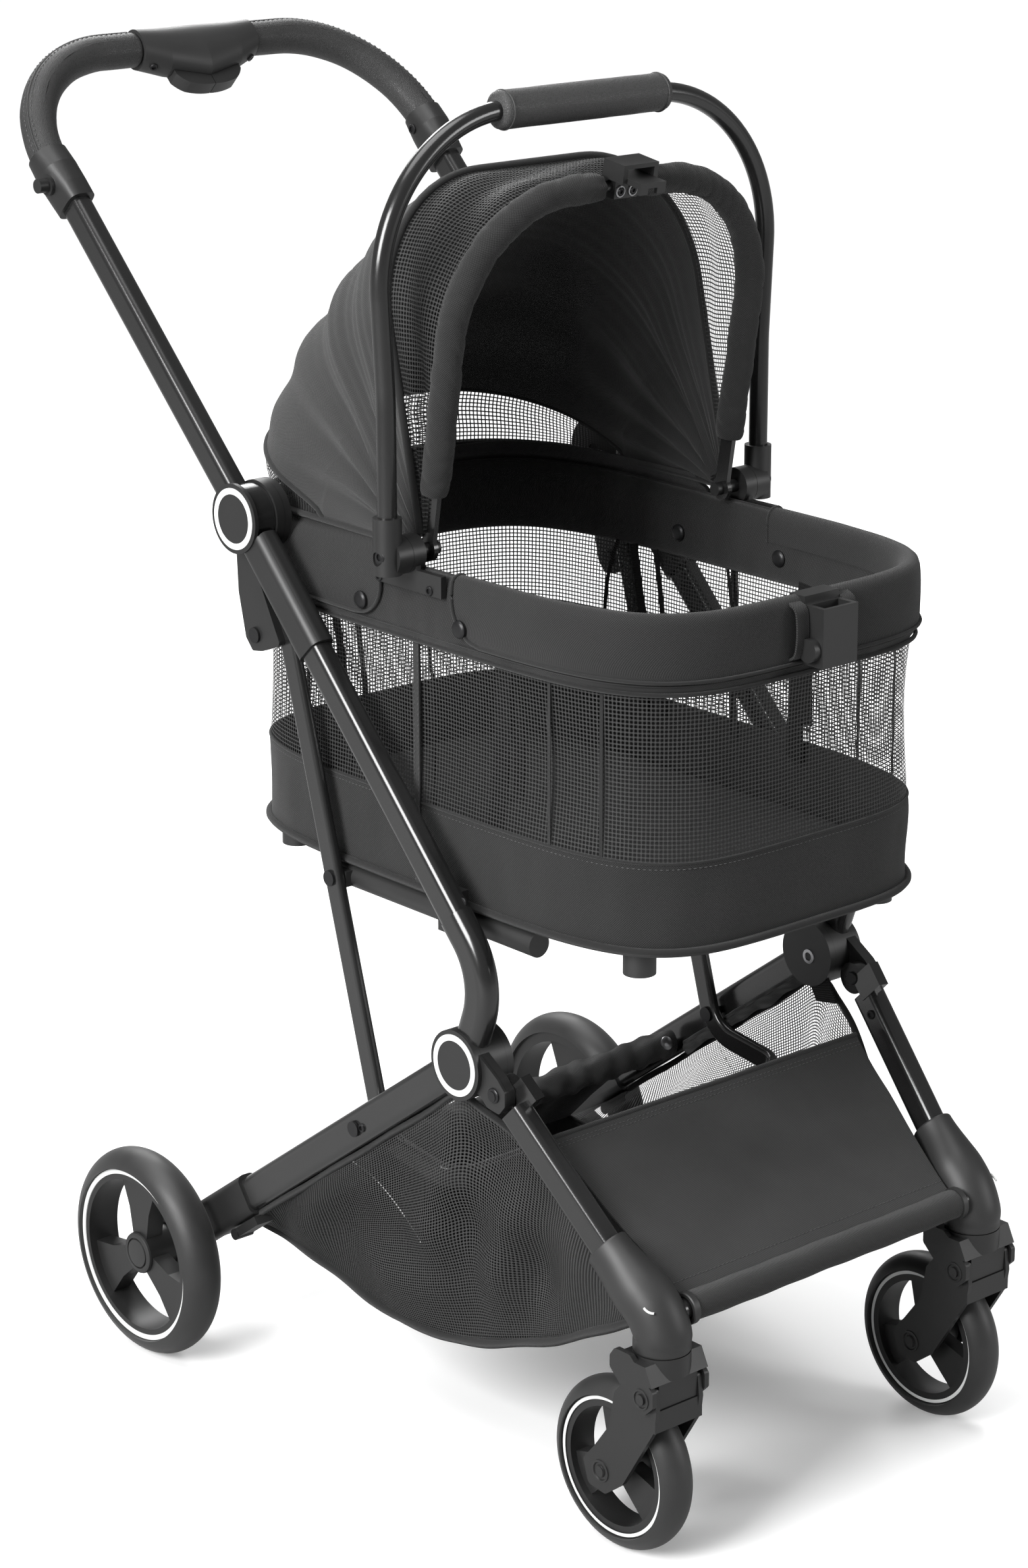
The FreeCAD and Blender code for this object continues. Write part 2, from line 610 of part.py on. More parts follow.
def lower_hub_left():
    """Hub drum with the fixed hinge leaf that carries the front leg."""
    drum = cylinder("lower_drum", "hub_radius", "hub_outer_x - hub_inner_x",
                    ("hub_inner_x", "lower_hub_y", "lower_hub_height"))
    leaf = plate("lower_leaf", [
        ("lower_hub_y - 8", "lower_hub_height - 17"), ("knuckle_y + 15", "knuckle_height - 4"),
        ("knuckle_y + 7", "knuckle_height - 11"), ("knuckle_y - 6", "knuckle_height - 12.5"),
        ("knuckle_y - 12.5", "knuckle_height - 5"),
        ("knuckle_y - 12.5", "knuckle_height + 6"), ("knuckle_y - 4", "knuckle_height + 14"),
        ("lower_hub_y - 6", "lower_hub_height + 24"),
    ], "tube_x - 1.2", "tube_x + 8.5", "3")
    whole = fused("lower_hub_mass", [drum, leaf])
    hole = cylinder("lower_knuckle_hole", "pin_radius + 0.01", "40",
                    ("tube_x - 20", "knuckle_y", "knuckle_height"))
    arm_way = (LOWER_HUB - ARM_TURN).normalize()
    arm_hole = tube("lower_arm_hole", LOWER_HUB - arm_way * 40, LOWER_HUB - arm_way * 14,
                    "arm_thick + 0.1", "arm_depth + 0.1", "8.5")
    leg_way = (REAR_AXLE - LOWER_HUB).normalize()
    leg_hole = tube("lower_leg_hole", LOWER_HUB + leg_way * 14, LOWER_HUB + leg_way * 60,
                    "rear_leg_thick + 0.1", "rear_leg_depth + 0.1", "6")
    solid = cut("lower_hub_cut", whole, fused("lower_hub_cuts", [hole, arm_hole, leg_hole]))
    return group("lower_hub_set", [solid, *hub_trim("lower", "lower_hub_y", "lower_hub_height")])


def arm_turn():
    """Corner where the curved arm's two straight ends would meet."""
    exit_way = heading(290)
    rise, run = ARM_JOINT.z - LOWER_HUB.z, ARM_JOINT.y - LOWER_HUB.y
    across = MAIN_WAY.y * exit_way.z - MAIN_WAY.z * exit_way.y
    reach = (run * exit_way.z - rise * exit_way.y) / -across
    return ARM_JOINT + MAIN_WAY * reach


ARM_TURN = arm_turn()


def curved_arm_left():
    """Moulded arm that bends from the main tube down into the lower hub."""
    exit_way = (LOWER_HUB - ARM_TURN).normalize()
    path = bent_path([ARM_JOINT, ARM_TURN, LOWER_HUB - exit_way * 14.1], [size("arm_bend_radius")])
    section = rounded_section(ARM_JOINT, X, MAIN_WAY.cross(X), size("arm_thick"), size("arm_depth"), 8.5)
    return shaped("curved_arm_shape", swept(path, section))


def rivet_spots():
    """Rivets and bolts with heads: place and the two faces that they clamp."""
    leg_share = (size("strut_pin_y") - LOWER_HUB.y) / (REAR_AXLE.y - LOWER_HUB.y)
    leg_x = LOWER_HUB.x + (REAR_AXLE.x - LOWER_HUB.x) * leg_share
    strut_in, strut_out = size("strut_x - strut_thick / 2"), size("strut_x + strut_thick / 2")
    return [
        (size("lug_y"), size("lug_height"), strut_out + 0.1, strut_out + 6),
        (size("strut_rivet_y"), size("strut_rivet_height"), strut_in - 8, strut_out),
        (size("strut_pin_y"), size("strut_pin_height"), strut_in, leg_x + size("rear_leg_thick") / 2 + 0.4),
    ]


def drilled(name, item, low_x, high_x):
    """A left piece with the holes of the rivets that pass through it."""
    holes = [Part.makeCylinder(size("rivet_radius + 0.01"), high_x - low_x, Vector(low_x, y, z), X)
             for y, z, _, _ in rivet_spots()]
    return shaped(name, item.Shape.cut(Part.Compound(holes)))


def strut_hoop():
    """One bent flat tube: down each side from the sleeve and across under the basket."""
    top = side_point("strut_x", "strut_top_y", "strut_top_height")
    pin = side_point("strut_x", "strut_pin_y", "strut_pin_height")
    drop = (pin - top).normalize()
    elbow = pin + drop * 14
    front = side_point("strut_x", "hoop_y", "hoop_height")
    points = [top - drop * 10, elbow, front]
    back = [Vector(-p.x, p.y, p.z) for p in reversed(points)]
    path = bent_path([*points, *back], [size("hoop_bend"), 22, 22, size("hoop_bend")])
    section = rounded_section(points[0], X, drop.cross(X), size("strut_thick"), size("strut_depth"), 3.4)
    hoop = path.makePipeShell([section], True, True)
    holes = []
    for y, z, _, _ in rivet_spots():
        for side in (1, -1):
            start = Vector(side * size("strut_x - 10"), y, z)
            holes.append(Part.makeCylinder(size("rivet_radius + 0.01"), 20, start, X * side))
    return shaped("strut_shape", hoop.cut(Part.Compound(holes)))


def rear_leg_left():
    """Flat oval rear leg from the lower hub to its end socket."""
    way = (REAR_AXLE - LOWER_HUB).normalize()
    length = (size("rear_leg_end_y") - LOWER_HUB.y) / way.y
    leg = tube("rear_leg_tube", LOWER_HUB + way * 14.1, LOWER_HUB + way * length, "rear_leg_thick",
               "rear_leg_depth", "6")
    doc.recompute()
    return drilled("rear_leg_drilled", leg, size("tube_x - 5"), size("tube_x + 40"))


def rear_socket_left():
    """Moulded end of the rear leg, with the housing that carries the axle."""
    way = (REAR_AXLE - LOWER_HUB).normalize()
    length = (size("rear_leg_end_y") - LOWER_HUB.y) / way.y
    start = LOWER_HUB + way * (length - 16)
    sleeve = tube("rear_sleeve", start, REAR_AXLE, "rear_leg_thick + 4", "rear_leg_depth + 6", "7")
    housing = cylinder("axle_housing", "21", "32",
                       ("rear_wheel_x - rear_tyre_half - 32.5", "rear_axle_y", "rear_wheel_radius"))
    hole = tube("rear_sleeve_hole", start - way * 5, LOWER_HUB + way * (length + 0.1),
                "rear_leg_thick + 0.1", "rear_leg_depth + 0.1", "6")
    axle_hole = cylinder("axle_hole", "9 + running_gap", "60",
                         ("rear_leg_end_x - 40", "rear_axle_y", "rear_wheel_radius"))
    return cut("rear_socket_cut", fused("rear_socket_mass", [sleeve, housing]),
               fused("rear_socket_cuts", [hole, axle_hole]))


def main_tube_left():
    """Straight main tube between the upper sleeve and the curved arm."""
    return tube("main_tube_body", UPPER_HUB + MAIN_WAY * size("hub_radius + 2.5"), ARM_JOINT, "tube_thick", "tube_depth",
                "tube_corner", "tube_wall")


keep(main_tube_left(), "main_tube_left")
mirrored(NODES[-1], "main_tube_right")
keep(curved_arm_left(), "curved_arm_left")
mirrored(NODES[-1], "curved_arm_right")
keep(upper_hub_left(), "upper_hub_left")
mirrored(NODES[-1], "upper_hub_right")
keep(lower_hub_left(), "lower_hub_left")
mirrored(NODES[-1], "lower_hub_right")
keep(rear_leg_left(), "rear_leg_left")
mirrored(NODES[-1], "rear_leg_right")
keep(rear_socket_left(), "rear_socket_left")
mirrored(NODES[-1], "rear_socket_right")
keep(strut_hoop(), "strut_hoop")

rear_shaft = turned("rear_shaft", [
    ("-rear_wheel_x - rear_hub_face + 2.2", "0"), ("-rear_wheel_x - rear_hub_face + 2.2", "shaft_radius"),
    ("-rear_wheel_x + rear_tyre_half + 0.8", "shaft_radius"), ("-rear_wheel_x + rear_tyre_half + 0.8", "9"),
    ("rear_wheel_x - rear_tyre_half - 0.8", "9"), ("rear_wheel_x - rear_tyre_half - 0.8", "shaft_radius"),
    ("rear_wheel_x + rear_hub_face - 2.2", "shaft_radius"), ("rear_wheel_x + rear_hub_face - 2.2", "0"),
])
rear_shaft.setExpression("Placement.Base.y", cell("rear_axle_y"))
rear_shaft.setExpression("Placement.Base.z", cell("rear_wheel_radius"))
keep(rear_shaft, "rear_axle")


def carrier_rail(side):
    """Sleeved bar that the carrier stands on, with its stub and its bracket."""
    low, high = f"{side} * rail_x", f"{side} * (tube_x - tube_thick / 2)"
    bar = cylinder(f"rail_bar_{side}", "rail_radius", "rail_back_y - rail_front_y",
                   (low, "rail_back_y", "rail_height"), Vector(0, -1, 0))
    ends = sorted([low, high], key=size)
    tab = block(f"rail_tab_{side}", (ends[0], "rail_bracket_y - 10", "rail_height - 6"),
                (ends[1], "rail_bracket_y + 10", "rail_height + 27"))
    shelf = [f"{side} * (rail_x + 10.2)", f"{side} * (rail_x - 10)"]
    shelf = sorted(shelf, key=size)
    trim = block(f"rail_trim_{side}", (shelf[0], "rail_bracket_y - 11", "rail_height + 8"),
                 (shelf[1], "rail_bracket_y + 11", "rail_height + 30"))
    stub_ends = sorted([f"{side} * rail_x", f"{side} * (strut_x - strut_thick / 2)"], key=size)
    stub = block(f"rail_stub_{side}", (stub_ends[0], "strut_rivet_y - 9", "rail_height - 6"),
                 (stub_ends[1], "strut_rivet_y + 9", "rail_height + 6"))
    hole = cylinder(f"rail_hole_{side}", "rivet_radius + 0.01", "10",
                    (f"{side} * (strut_x - strut_thick / 2 - 9)", "strut_rivet_y", "strut_rivet_height"),
                    X * float(side))
    head = cylinder(f"rail_head_{side}", "head_radius + 0.01", "head_thick + 12",
                    (f"{side} * (strut_x - strut_thick / 2 - 8 - head_thick - 12)", "strut_rivet_y",
                     "strut_rivet_height"), X * float(side))
    return cut(f"rail_{side}", fused(f"rail_mass_{side}", [bar, tab, stub]),
               fused(f"rail_cuts_{side}", [trim, hole, head]))


keep(group("carrier_rail_set", [carrier_rail("1"), carrier_rail("-1")]), "carrier_rails")


def frame_bolts():
    """Pivot bolts of the hubs and knuckles, and the rivets of lug, strut and rear leg."""
    bolts = []
    for side in ("1", "-1"):
        axis = X * float(side)
        spots = [
            ("hub_inner_x + 0.5", "upper_hub_y", "upper_hub_height", "shaft_radius",
             "hub_outer_x - hub_inner_x - 1"),
            ("tube_x - 12.5", "knuckle_y", "knuckle_height", "pin_radius", "23"),
        ]
        for i, (x, y, z, radius, length) in enumerate(spots):
            bolts.append(cylinder(f"bolt_{side}_{i}", radius, length, (f"{side} * ({x})", y, z), axis))
        for y, z, low, high in rivet_spots():
            shank = Part.makeCylinder(size("rivet_radius"), high - low + 2 * size("head_thick"),
                                      Vector((low - size("head_thick")) * axis.x, y, z), axis)
            heads = [Part.makeCylinder(size("head_radius"), size("head_thick"),
                                       Vector(x * axis.x, y, z), axis)
                     for x in (low - size("head_thick"), high)]
            bolts.append(shaped("rivet", shank.multiFuse(heads)))
    return group("bolt_set", bolts)


keep(frame_bolts(), "frame_bolts")


def brake_lever_left():
    """Small foot lever under the rear socket, on a pin through its root."""
    way = (REAR_AXLE - LOWER_HUB).normalize()
    under = way.cross(X)
    if under.z > 0:
        under = -under
    root = LOWER_HUB + way * ((size("rear_leg_end_y") + 14 - LOWER_HUB.y) / way.y)
    centre = root + under * (size("rear_leg_depth + 6") / 2 + 5.5)
    barrel = Part.makeCylinder(4.5, 16, centre - X * 8, X)
    low = centre - X * 8 - way * 34 - under * 4
    blade = Part.makeBox(16, 34, 7)
    blade.Placement = Placement(low, Rotation(X, way, X.cross(way), "XYZ"))
    if blade.distToShape(Part.Vertex(centre + under * 2 - way * 10))[0] > 3:
        blade.Placement = Placement(low + under * 7, Rotation(X, way, X.cross(way), "XYZ"))
    return shaped("brake_lever_shape", barrel.fuse(blade))


keep(brake_lever_left(), "brake_lever_left")
mirrored(NODES[-1], "brake_lever_right")

# ---------------------------------------------------------------- push bar

PUSH_WAY = heading(size("push_angle"))
PUSH_UP = heading(size("push_angle + 90"))


def on_push(x, reach, rise=0.0):
    """Point of the push bar: across, along the bar from the hub, and square above it."""
    return Vector(x, UPPER_HUB.y, UPPER_HUB.z) + PUSH_WAY * reach + PUSH_UP * rise


def push_tube_left():
    """Side tube of the push bar with the round knuckle that turns in the hub."""
    end = on_push(size("tube_x"), size("collar_reach + 20"))
    stem = tube("push_stem", on_push(size("tube_x"), 10), end, "tube_thick", "tube_depth", "tube_corner")
    disc = cylinder("push_disc", "hub_radius - 2", "tube_thick",
                    ("tube_x - tube_thick / 2", "upper_hub_y", "upper_hub_height"))
    hole = cylinder("push_hole", "shaft_radius + running_gap", "tube_thick + 2",
                    ("tube_x - tube_thick / 2 - 1", "upper_hub_y", "upper_hub_height"))
    return cut("push_tube_cut", fused("push_tube_mass", [stem, disc]), hole)


def handle_path():
    """Centre line of the bent handle tube, from one collar to the other."""
    x, low = size("handle_x"), size("collar_reach + 22")
    top = size("collar_reach + handle_rise")
    bend = min(size("handle_bend"), top - low - 12)
    points = [on_push(x, low), on_push(x, top), on_push(-x, top), on_push(-x, low)]
    return bent_path(points, [bend] * 2)


def collar(side):
    """Moulded collar that joins a side tube to the handle tube."""
    across = X * side
    sections = []
    for reach, x, half_across, half_up, power in (
        (0, "tube_x", 12, 16, 3.5), (14, "tube_x + 0.8", 13, 17, 3.0),
        (32, "handle_x - 0.5", 15, 17.5, 2.4), (48, "handle_x", 15.5, 16, 2.1),
    ):
        centre = on_push(side * size(x), size("collar_reach") + reach)
        sections.append(oval(centre, across, PUSH_UP, half_across, half_up, power))
    body = lofted(sections)
    tube_hole = Part.Face(rounded_section(
        on_push(side * size("tube_x"), size("collar_reach") - 1), X, PUSH_UP,
        size("tube_thick + 0.1"), size("tube_depth + 0.1"), size("tube_corner"),
    )).extrude(PUSH_WAY * 21.1)
    core_hole = Part.makeCylinder(size("core_radius + 0.1"), 40,
                                  on_push(side * size("handle_x"), size("collar_reach + 22")), PUSH_WAY)
    return body.cut(tube_hole).cut(core_hole)


def handle_collars():
    """Both collars, and the accessory stud on the right one."""
    spot = on_push(-size("tube_x + stud_boss_proud"), size("collar_reach + 22"))
    right = collar(-1).fuse(Part.makeCylinder(size("stud_radius + 2.5"), 5.4, spot + X * 5.4, -X))
    stud = Part.makeCylinder(size("stud_radius"), size("stud_length + 4"), spot + X * 4, -X)
    return shaped("collar_set", Part.Compound([collar(1), right, stud.cut(right)]))


def handle_grips():
    """Padded grips on the handle tube, one each side of the middle panel."""
    path = handle_path()
    whole = round_rod(path, size("grip_radius")).cut(round_rod(path, size("core_radius + 0.1")))
    half = size("panel_half") + 0.3
    low = size("collar_reach") + 48.3
    far = size("handle_x") + 60
    grips = []
    for side in (1, -1):
        corners = [on_push(side * half, low, -60), on_push(side * far, low, -60),
                   on_push(side * far, low + 300, -60), on_push(side * half, low + 300, -60)]
        face = Part.Face(Part.makePolygon([*corners, corners[0]]))
        grips.append(whole.common(face.extrude(PUSH_UP * 120)))
    return shaped("grip_set", Part.Compound(grips))


def handle_panel():
    """Middle housing with a belly towards the user's fingers and a slot for the triggers."""
    sections = []
    for x, drop, half_way, half_up in ((-1, 0, 15.5, 15.5), (-0.62, 5, 20, 16), (0, 9, 25, 16.5),
                                       (0.62, 5, 20, 16), (1, 0, 15.5, 15.5)):
        centre = on_push(x * size("panel_half"), size("collar_reach + handle_rise") - drop)
        sections.append(oval(centre, PUSH_WAY, PUSH_UP, half_way, half_up, 2.3))
    body = lofted(sections)
    core = Part.makeCylinder(size("core_radius + 0.1"), 200, on_push(-100, size("collar_reach + handle_rise")), X)
    slot = Part.makeBox(64.8, 30, 13.2)
    slot.Placement = Placement(on_push(-32.4, size("collar_reach + handle_rise") - 45, -9.6),
                               Rotation(X, PUSH_WAY, PUSH_UP, "XYZ"))
    return shaped("panel_shape", body.cut(core).cut(slot))


def trigger_left():
    """Left half of the half-moon squeeze trigger."""
    top = size("collar_reach + handle_rise") - 15.6 - size("trigger_travel")
    ahead = [on_push(0.3, top, -9.2), on_push(32, top, -9.2), on_push(32, top - 8, -9.2),
             on_push(23, top - 17.5, -9.2), on_push(0.3, top - 21, -9.2)]
    rounded = Part.Arc(ahead[2], on_push(27.5, top - 14, -9.2), ahead[3]).toShape()
    belly = Part.Arc(ahead[3], on_push(12, top - 20.4, -9.2), ahead[4]).toShape()
    wire = Part.Wire([Part.makeLine(ahead[0], ahead[1]), Part.makeLine(ahead[1], ahead[2]),
                      rounded, belly, Part.makeLine(ahead[4], ahead[0])])
    return shaped("trigger_shape", Part.Face(wire).extrude(PUSH_UP * 12.4))


keep(push_tube_left(), "push_tube_left")
mirrored(NODES[-1], "push_tube_right")
keep(shaped("handle_core_shape", round_rod(handle_path(), size("core_radius"))), "handle_core")
keep(handle_collars(), "handle_collars")
keep(handle_grips(), "handle_grips")
keep(handle_panel(), "handle_panel")
keep(trigger_left(), "trigger_left")
mirrored(NODES[-1], "trigger_right")

# ---------------------------------------------------------------- carrier

def carrier_outline(height, inset, power=4.4):
    """Carrier's plan outline at a height, drawn in from the wall's outside."""
    centre = Vector(0, size("carrier_y"), height)
    return oval(centre, X, Y, size("carrier_half_width") - inset,
                size("carrier_half_length") - inset, power, 48)


def carrier_slab(low, high, inset):
    """Solid slab of the carrier's plan between two heights."""
    return Part.Face(carrier_outline(low, inset)).extrude(Z * (high - low))


def carrier_tray():
    """Rigid floor with a welt round its edge and four feet under it."""
    floor = size("carrier_floor")
    slab = carrier_slab(floor, floor + size("tray_thick"), -3)
    feet = []
    for x in (size("foot_x"), -size("foot_x")):
        for y in (size("foot_reach"), -size("foot_reach")):
            base = Vector(x, size("carrier_y") + y, floor - size("foot_drop"))
            feet.append(Part.makeCylinder(size("foot_radius"), size("foot_drop") + 1, base))
    return shaped("tray_shape", slab.multiFuse(feet).removeSplitter())


def carrier_wall():
    """Fabric and mesh wall as one thin ring."""
    low, high = size("carrier_floor + tray_thick"), size("band_bottom")
    wall = carrier_slab(low, high, 0).cut(carrier_slab(low - 1, high + 1, size("wall_thick")))
    return shaped("wall_shape", wall)


def rim_band():
    """Padded band round the rim, hollow where the rim tube runs."""
    low, high = size("band_bottom"), size("band_top")
    outset = size("band_outset")
    inset = size("band_thick") - outset
    sections = [carrier_outline(low, -outset + 4), carrier_outline(low + 14, -outset),
                carrier_outline(high - 14, -outset), carrier_outline(high, -outset + 4)]
    outer = lofted(sections)
    band = outer.cut(carrier_slab(low - 1, high + 1, inset))
    middle = (size("band_thick") / 2) - outset
    height = (low + high) / 2 + 12
    half = size("rim_tube_radius") + 0.1
    channel = carrier_slab(height - half, height + half, middle - half)
    channel = channel.cut(carrier_slab(height - half - 1, height + half + 1, middle + half))
    return shaped("band_shape", band.cut(channel))


def rim_hoop():
    """Closed stiffening hoop inside the rim band."""
    middle = (size("band_thick") / 2) - size("band_outset")
    height = (size("band_bottom") + size("band_top")) / 2 + 12
    half = size("rim_tube_radius") - 0.2
    hoop = carrier_slab(height - half, height + half, middle - half)
    hole = carrier_slab(height - half - 1, height + half + 1, middle + half)
    return shaped("rim_hoop_shape", hoop.cut(hole))


def floor_pad():
    """Soft floor cushion inside the carrier."""
    low = size("carrier_floor + tray_thick") + 0.3
    return shaped("pad_shape", carrier_slab(low, low + size("pad_thick"), size("wall_thick") + 1.5))


def bail_bracket(side):
    """Bracket on the rim band with the boss that carries the pivot shaft."""
    inner, boss_end = "carrier_half_width + band_outset + side_gap", "bail_x - boss_radius + 0.7"
    ends = sorted([f"{side} * ({inner})", f"{side} * ({inner} + 4.6)"], key=size)
    strap = block(f"bracket_strap_{side}", (ends[0], "pivot_y - 40", "band_top - 15"),
                  (ends[1], "pivot_y + 30", "band_top + 1"))
    arm = block(f"bracket_arm_{side}", (ends[0], "pivot_y - 12", "band_top - 10"),
                (ends[1], "pivot_y + 12", "pivot_height"))
    boss = cylinder(f"bracket_boss_{side}", "boss_radius", f"({boss_end}) - ({inner} - 4)",
                    (f"{side} * ({inner} - 4)", "pivot_y", "pivot_height"), X * float(side))
    below = block(f"bracket_clear_{side}",
                  (sorted([f"{side} * ({inner} - 10)", f"{side} * ({inner})"], key=size)[0],
                   "pivot_y - 50", "band_top - 20"),
                  (sorted([f"{side} * ({inner} - 10)", f"{side} * ({inner})"], key=size)[1],
                   "pivot_y + 50", "band_top + 1.5"))
    hole = cylinder(f"bracket_hole_{side}", "shaft_radius + 0.01", "40",
                    (f"{side} * ({inner} - 10)", "pivot_y", "pivot_height"), X * float(side))
    solid = cut(f"bracket_cut_{side}", fused(f"bracket_mass_{side}", [strap, arm, boss]),
                fused(f"bracket_cuts_{side}", [below, hole]))
    shaft = cylinder(f"pivot_shaft_{side}", "shaft_radius", "bail_x + 8 - bow_x + 8",
                     (f"{side} * (bow_x - 8)", "pivot_y", "pivot_height"), X * float(side))
    return [solid, shaft]


def front_lock():
    """Socket box on the front of the rim that takes the canopy clip."""
    face = "carrier_y - carrier_half_length - band_outset - side_gap"
    box = block("lock_box", ("-lock_half_width", f"{face} - lock_depth", "lock_bottom"),
                ("lock_half_width", f"{face}", "lock_top"))
    cap = block("lock_cap", ("-lock_half_width", f"{face} - 2", "band_top + 0.3"),
                ("lock_half_width", f"{face} + 12", "band_top + 3"))
    riser = block("lock_riser", ("-lock_half_width", f"{face} - 3", "lock_top - 2"),
                  ("lock_half_width", f"{face}", "band_top + 3"))
    slot = block("lock_slot", ("-13.2", f"{face} - 19.2", "button_height + button_radius + 2"),
                 ("13.2", f"{face} - 6", "lock_top + 5"))
    bore = cylinder("lock_bore", "button_radius + 0.1", "7.5",
                    ("-lock_half_width - 0.5", f"{face} - 12", "button_height"))
    return cut("lock_cut", fused("lock_mass", [box, cap, riser]), fused("lock_cuts", [slot, bore]))


def hoop_points(half_width, reach, tilt, low=0.0):
    """Corners of an upright hoop that stands on the pivot line and leans by a tilt."""
    up = heading(90 + tilt)
    base = Vector(0, size("pivot_y"), size("pivot_height"))
    return [base + X * half_width + up * low, base + X * half_width + up * reach,
            base - X * half_width + up * reach, base - X * half_width + up * low]


def canopy_hood():
    """Fabric hood as one thin shell turned about the pivot line."""
    tilt = size("bow_tilt")
    shells = []
    for grow in (0.0, size("hood_thick")):
        half, reach = size("hood_half_width") - size("hood_thick") + grow, size("hood_reach") - size("hood_thick") + grow
        points = hoop_points(half, reach, tilt - 2, 4.0 - grow)
        wire = bent_path(points, [size("bow_bend")] * 2)
        closed = Part.Wire([*wire.Edges, Part.makeLine(points[3], points[0])])
        shells.append(Part.Face(closed))
    axis_at = Vector(0, size("pivot_y"), size("pivot_height"))
    inner, outer = [f.revolve(axis_at, X, -(tilt + 86)) for f in shells]
    up, ahead = heading(90 + tilt), heading(180 + tilt)
    front = Part.makeBox(400, 400, 400)
    front.Placement = Placement(axis_at - X * 200 - up * 100 + ahead * (400 - size("bow_sleeve_radius") - 0.6),
                                Rotation(X, -ahead, up, "XYZ"))
    hood = outer.cut(inner).cut(front)
    clear = carrier_slab(size("band_top") - 60, size("band_top") + 1, -size("band_outset") - 4)
    return shaped("hood_shape", hood.cut(clear))


def bail_path():
    """Centre line of the bail: legs, shoulders and the level top."""
    left = [side_point("bail_x", "pivot_y", "socket_top - 20"), side_point("bail_x", "pivot_y", "bail_knee"),
            side_point("bail_shoulder_x", "pivot_y", "bail_top")]
    right = [Vector(-p.x, p.y, p.z) for p in reversed(left)]
    return bent_path([*left, *right], [250, size("bail_bend"), size("bail_bend"), 250])


def bail_socket(side):
    """Socket at the foot of the bail with its round knuckle."""
    upright = cylinder(f"socket_upright_{side}", "socket_radius", "socket_top - socket_bottom",
                       (f"{side} * bail_x", "pivot_y", "socket_bottom"), Z)
    start = "bail_x - boss_radius + 1"
    knuckle = cylinder(f"socket_knuckle_{side}", "boss_radius", f"bail_x - ({start})",
                       (f"{side} * ({start})", "pivot_y", "pivot_height"), X * float(side))
    bore = cylinder(f"socket_bore_{side}", "bail_tube_radius + 0.1", "30",
                    (f"{side} * bail_x", "pivot_y", "socket_top - 20.1"), Z)
    hole = cylinder(f"socket_hole_{side}", "shaft_radius + running_gap", "30",
                    (f"{side} * ({start} - 1)", "pivot_y", "pivot_height"), X * float(side))
    return cut(f"socket_cut_{side}", fused(f"socket_mass_{side}", [upright, knuckle]),
               fused(f"socket_cuts_{side}", [bore, hole]))


def bail_grip():
    """Padded grip on the bail's level top."""
    centre = side_point("-bail_grip_half", "pivot_y", "bail_top")
    outer = Part.makeCylinder(size("bail_grip_radius"), 2 * size("bail_grip_half"), centre, X)
    return shaped("bail_grip_shape", outer)


def bow_tube():
    """Canopy bow: thin bent tube with a flat bar down to each pivot."""
    tilt = size("bow_tilt")
    points = hoop_points(size("bow_x"), size("bow_reach"), tilt, size("bow_bar_reach") - 8)
    rod = round_rod(bent_path(points, [size("bow_bend")] * 2), size("bow_tube_radius"))
    up, ahead = heading(90 + tilt), heading(180 + tilt)
    bars = []
    for side in (1, -1):
        base = side_point("0", "pivot_y", "pivot_height") + X * (side * size("bow_x") - 2)
        disc = Part.makeCylinder(9, 4, base, X)
        bar = Part.makeBox(4, 12, size("bow_bar_reach"))
        bar.Placement = Placement(base + ahead * 6, Rotation(X, -ahead, up, "XYZ"))
        hole = Part.makeCylinder(size("shaft_radius + running_gap"), 6, base - X, X)
        bars.append(disc.fuse(bar).cut(hole))
    return shaped("bow_shape", rod.multiFuse(bars))


def bow_sleeve():
    """Padded fabric sleeve on the bow, open at the clip."""
    tilt = size("bow_tilt")
    points = hoop_points(size("bow_x"), size("bow_reach"), tilt, size("bow_bar_reach") - 20)
    path = bent_path(points, [size("bow_bend")] * 2)
    low = hoop_points(size("bow_x"), size("bow_reach"), tilt, size("bow_bar_reach") - 8)
    bore = round_rod(bent_path(low, [size("bow_bend")] * 2), size("bow_tube_radius") + 0.1)
    whole = round_rod(path, size("bow_sleeve_radius")).cut(bore)
    up, ahead = heading(90 + tilt), heading(180 + tilt)
    base = side_point("0", "pivot_y", "pivot_height")
    gap = Part.makeBox(40, 60, 60)
    gap.Placement = Placement(base + up * (size("bow_reach") - 30) + ahead * 30 - X * 20,
                              Rotation(X, -ahead, up, "XYZ"))
    trims = [gap]
    for side in (1, -1):
        slot = Part.makeBox(4.6, 12.6, 40)
        corner = base + X * (side * size("bow_x") - 2.3) + up * (size("bow_bar_reach") - 39.5) + ahead * 6.3
        slot.Placement = Placement(corner, Rotation(X, -ahead, up, "XYZ"))
        trims.append(slot)
    return shaped("sleeve_shape", whole.cut(Part.Compound(trims)))


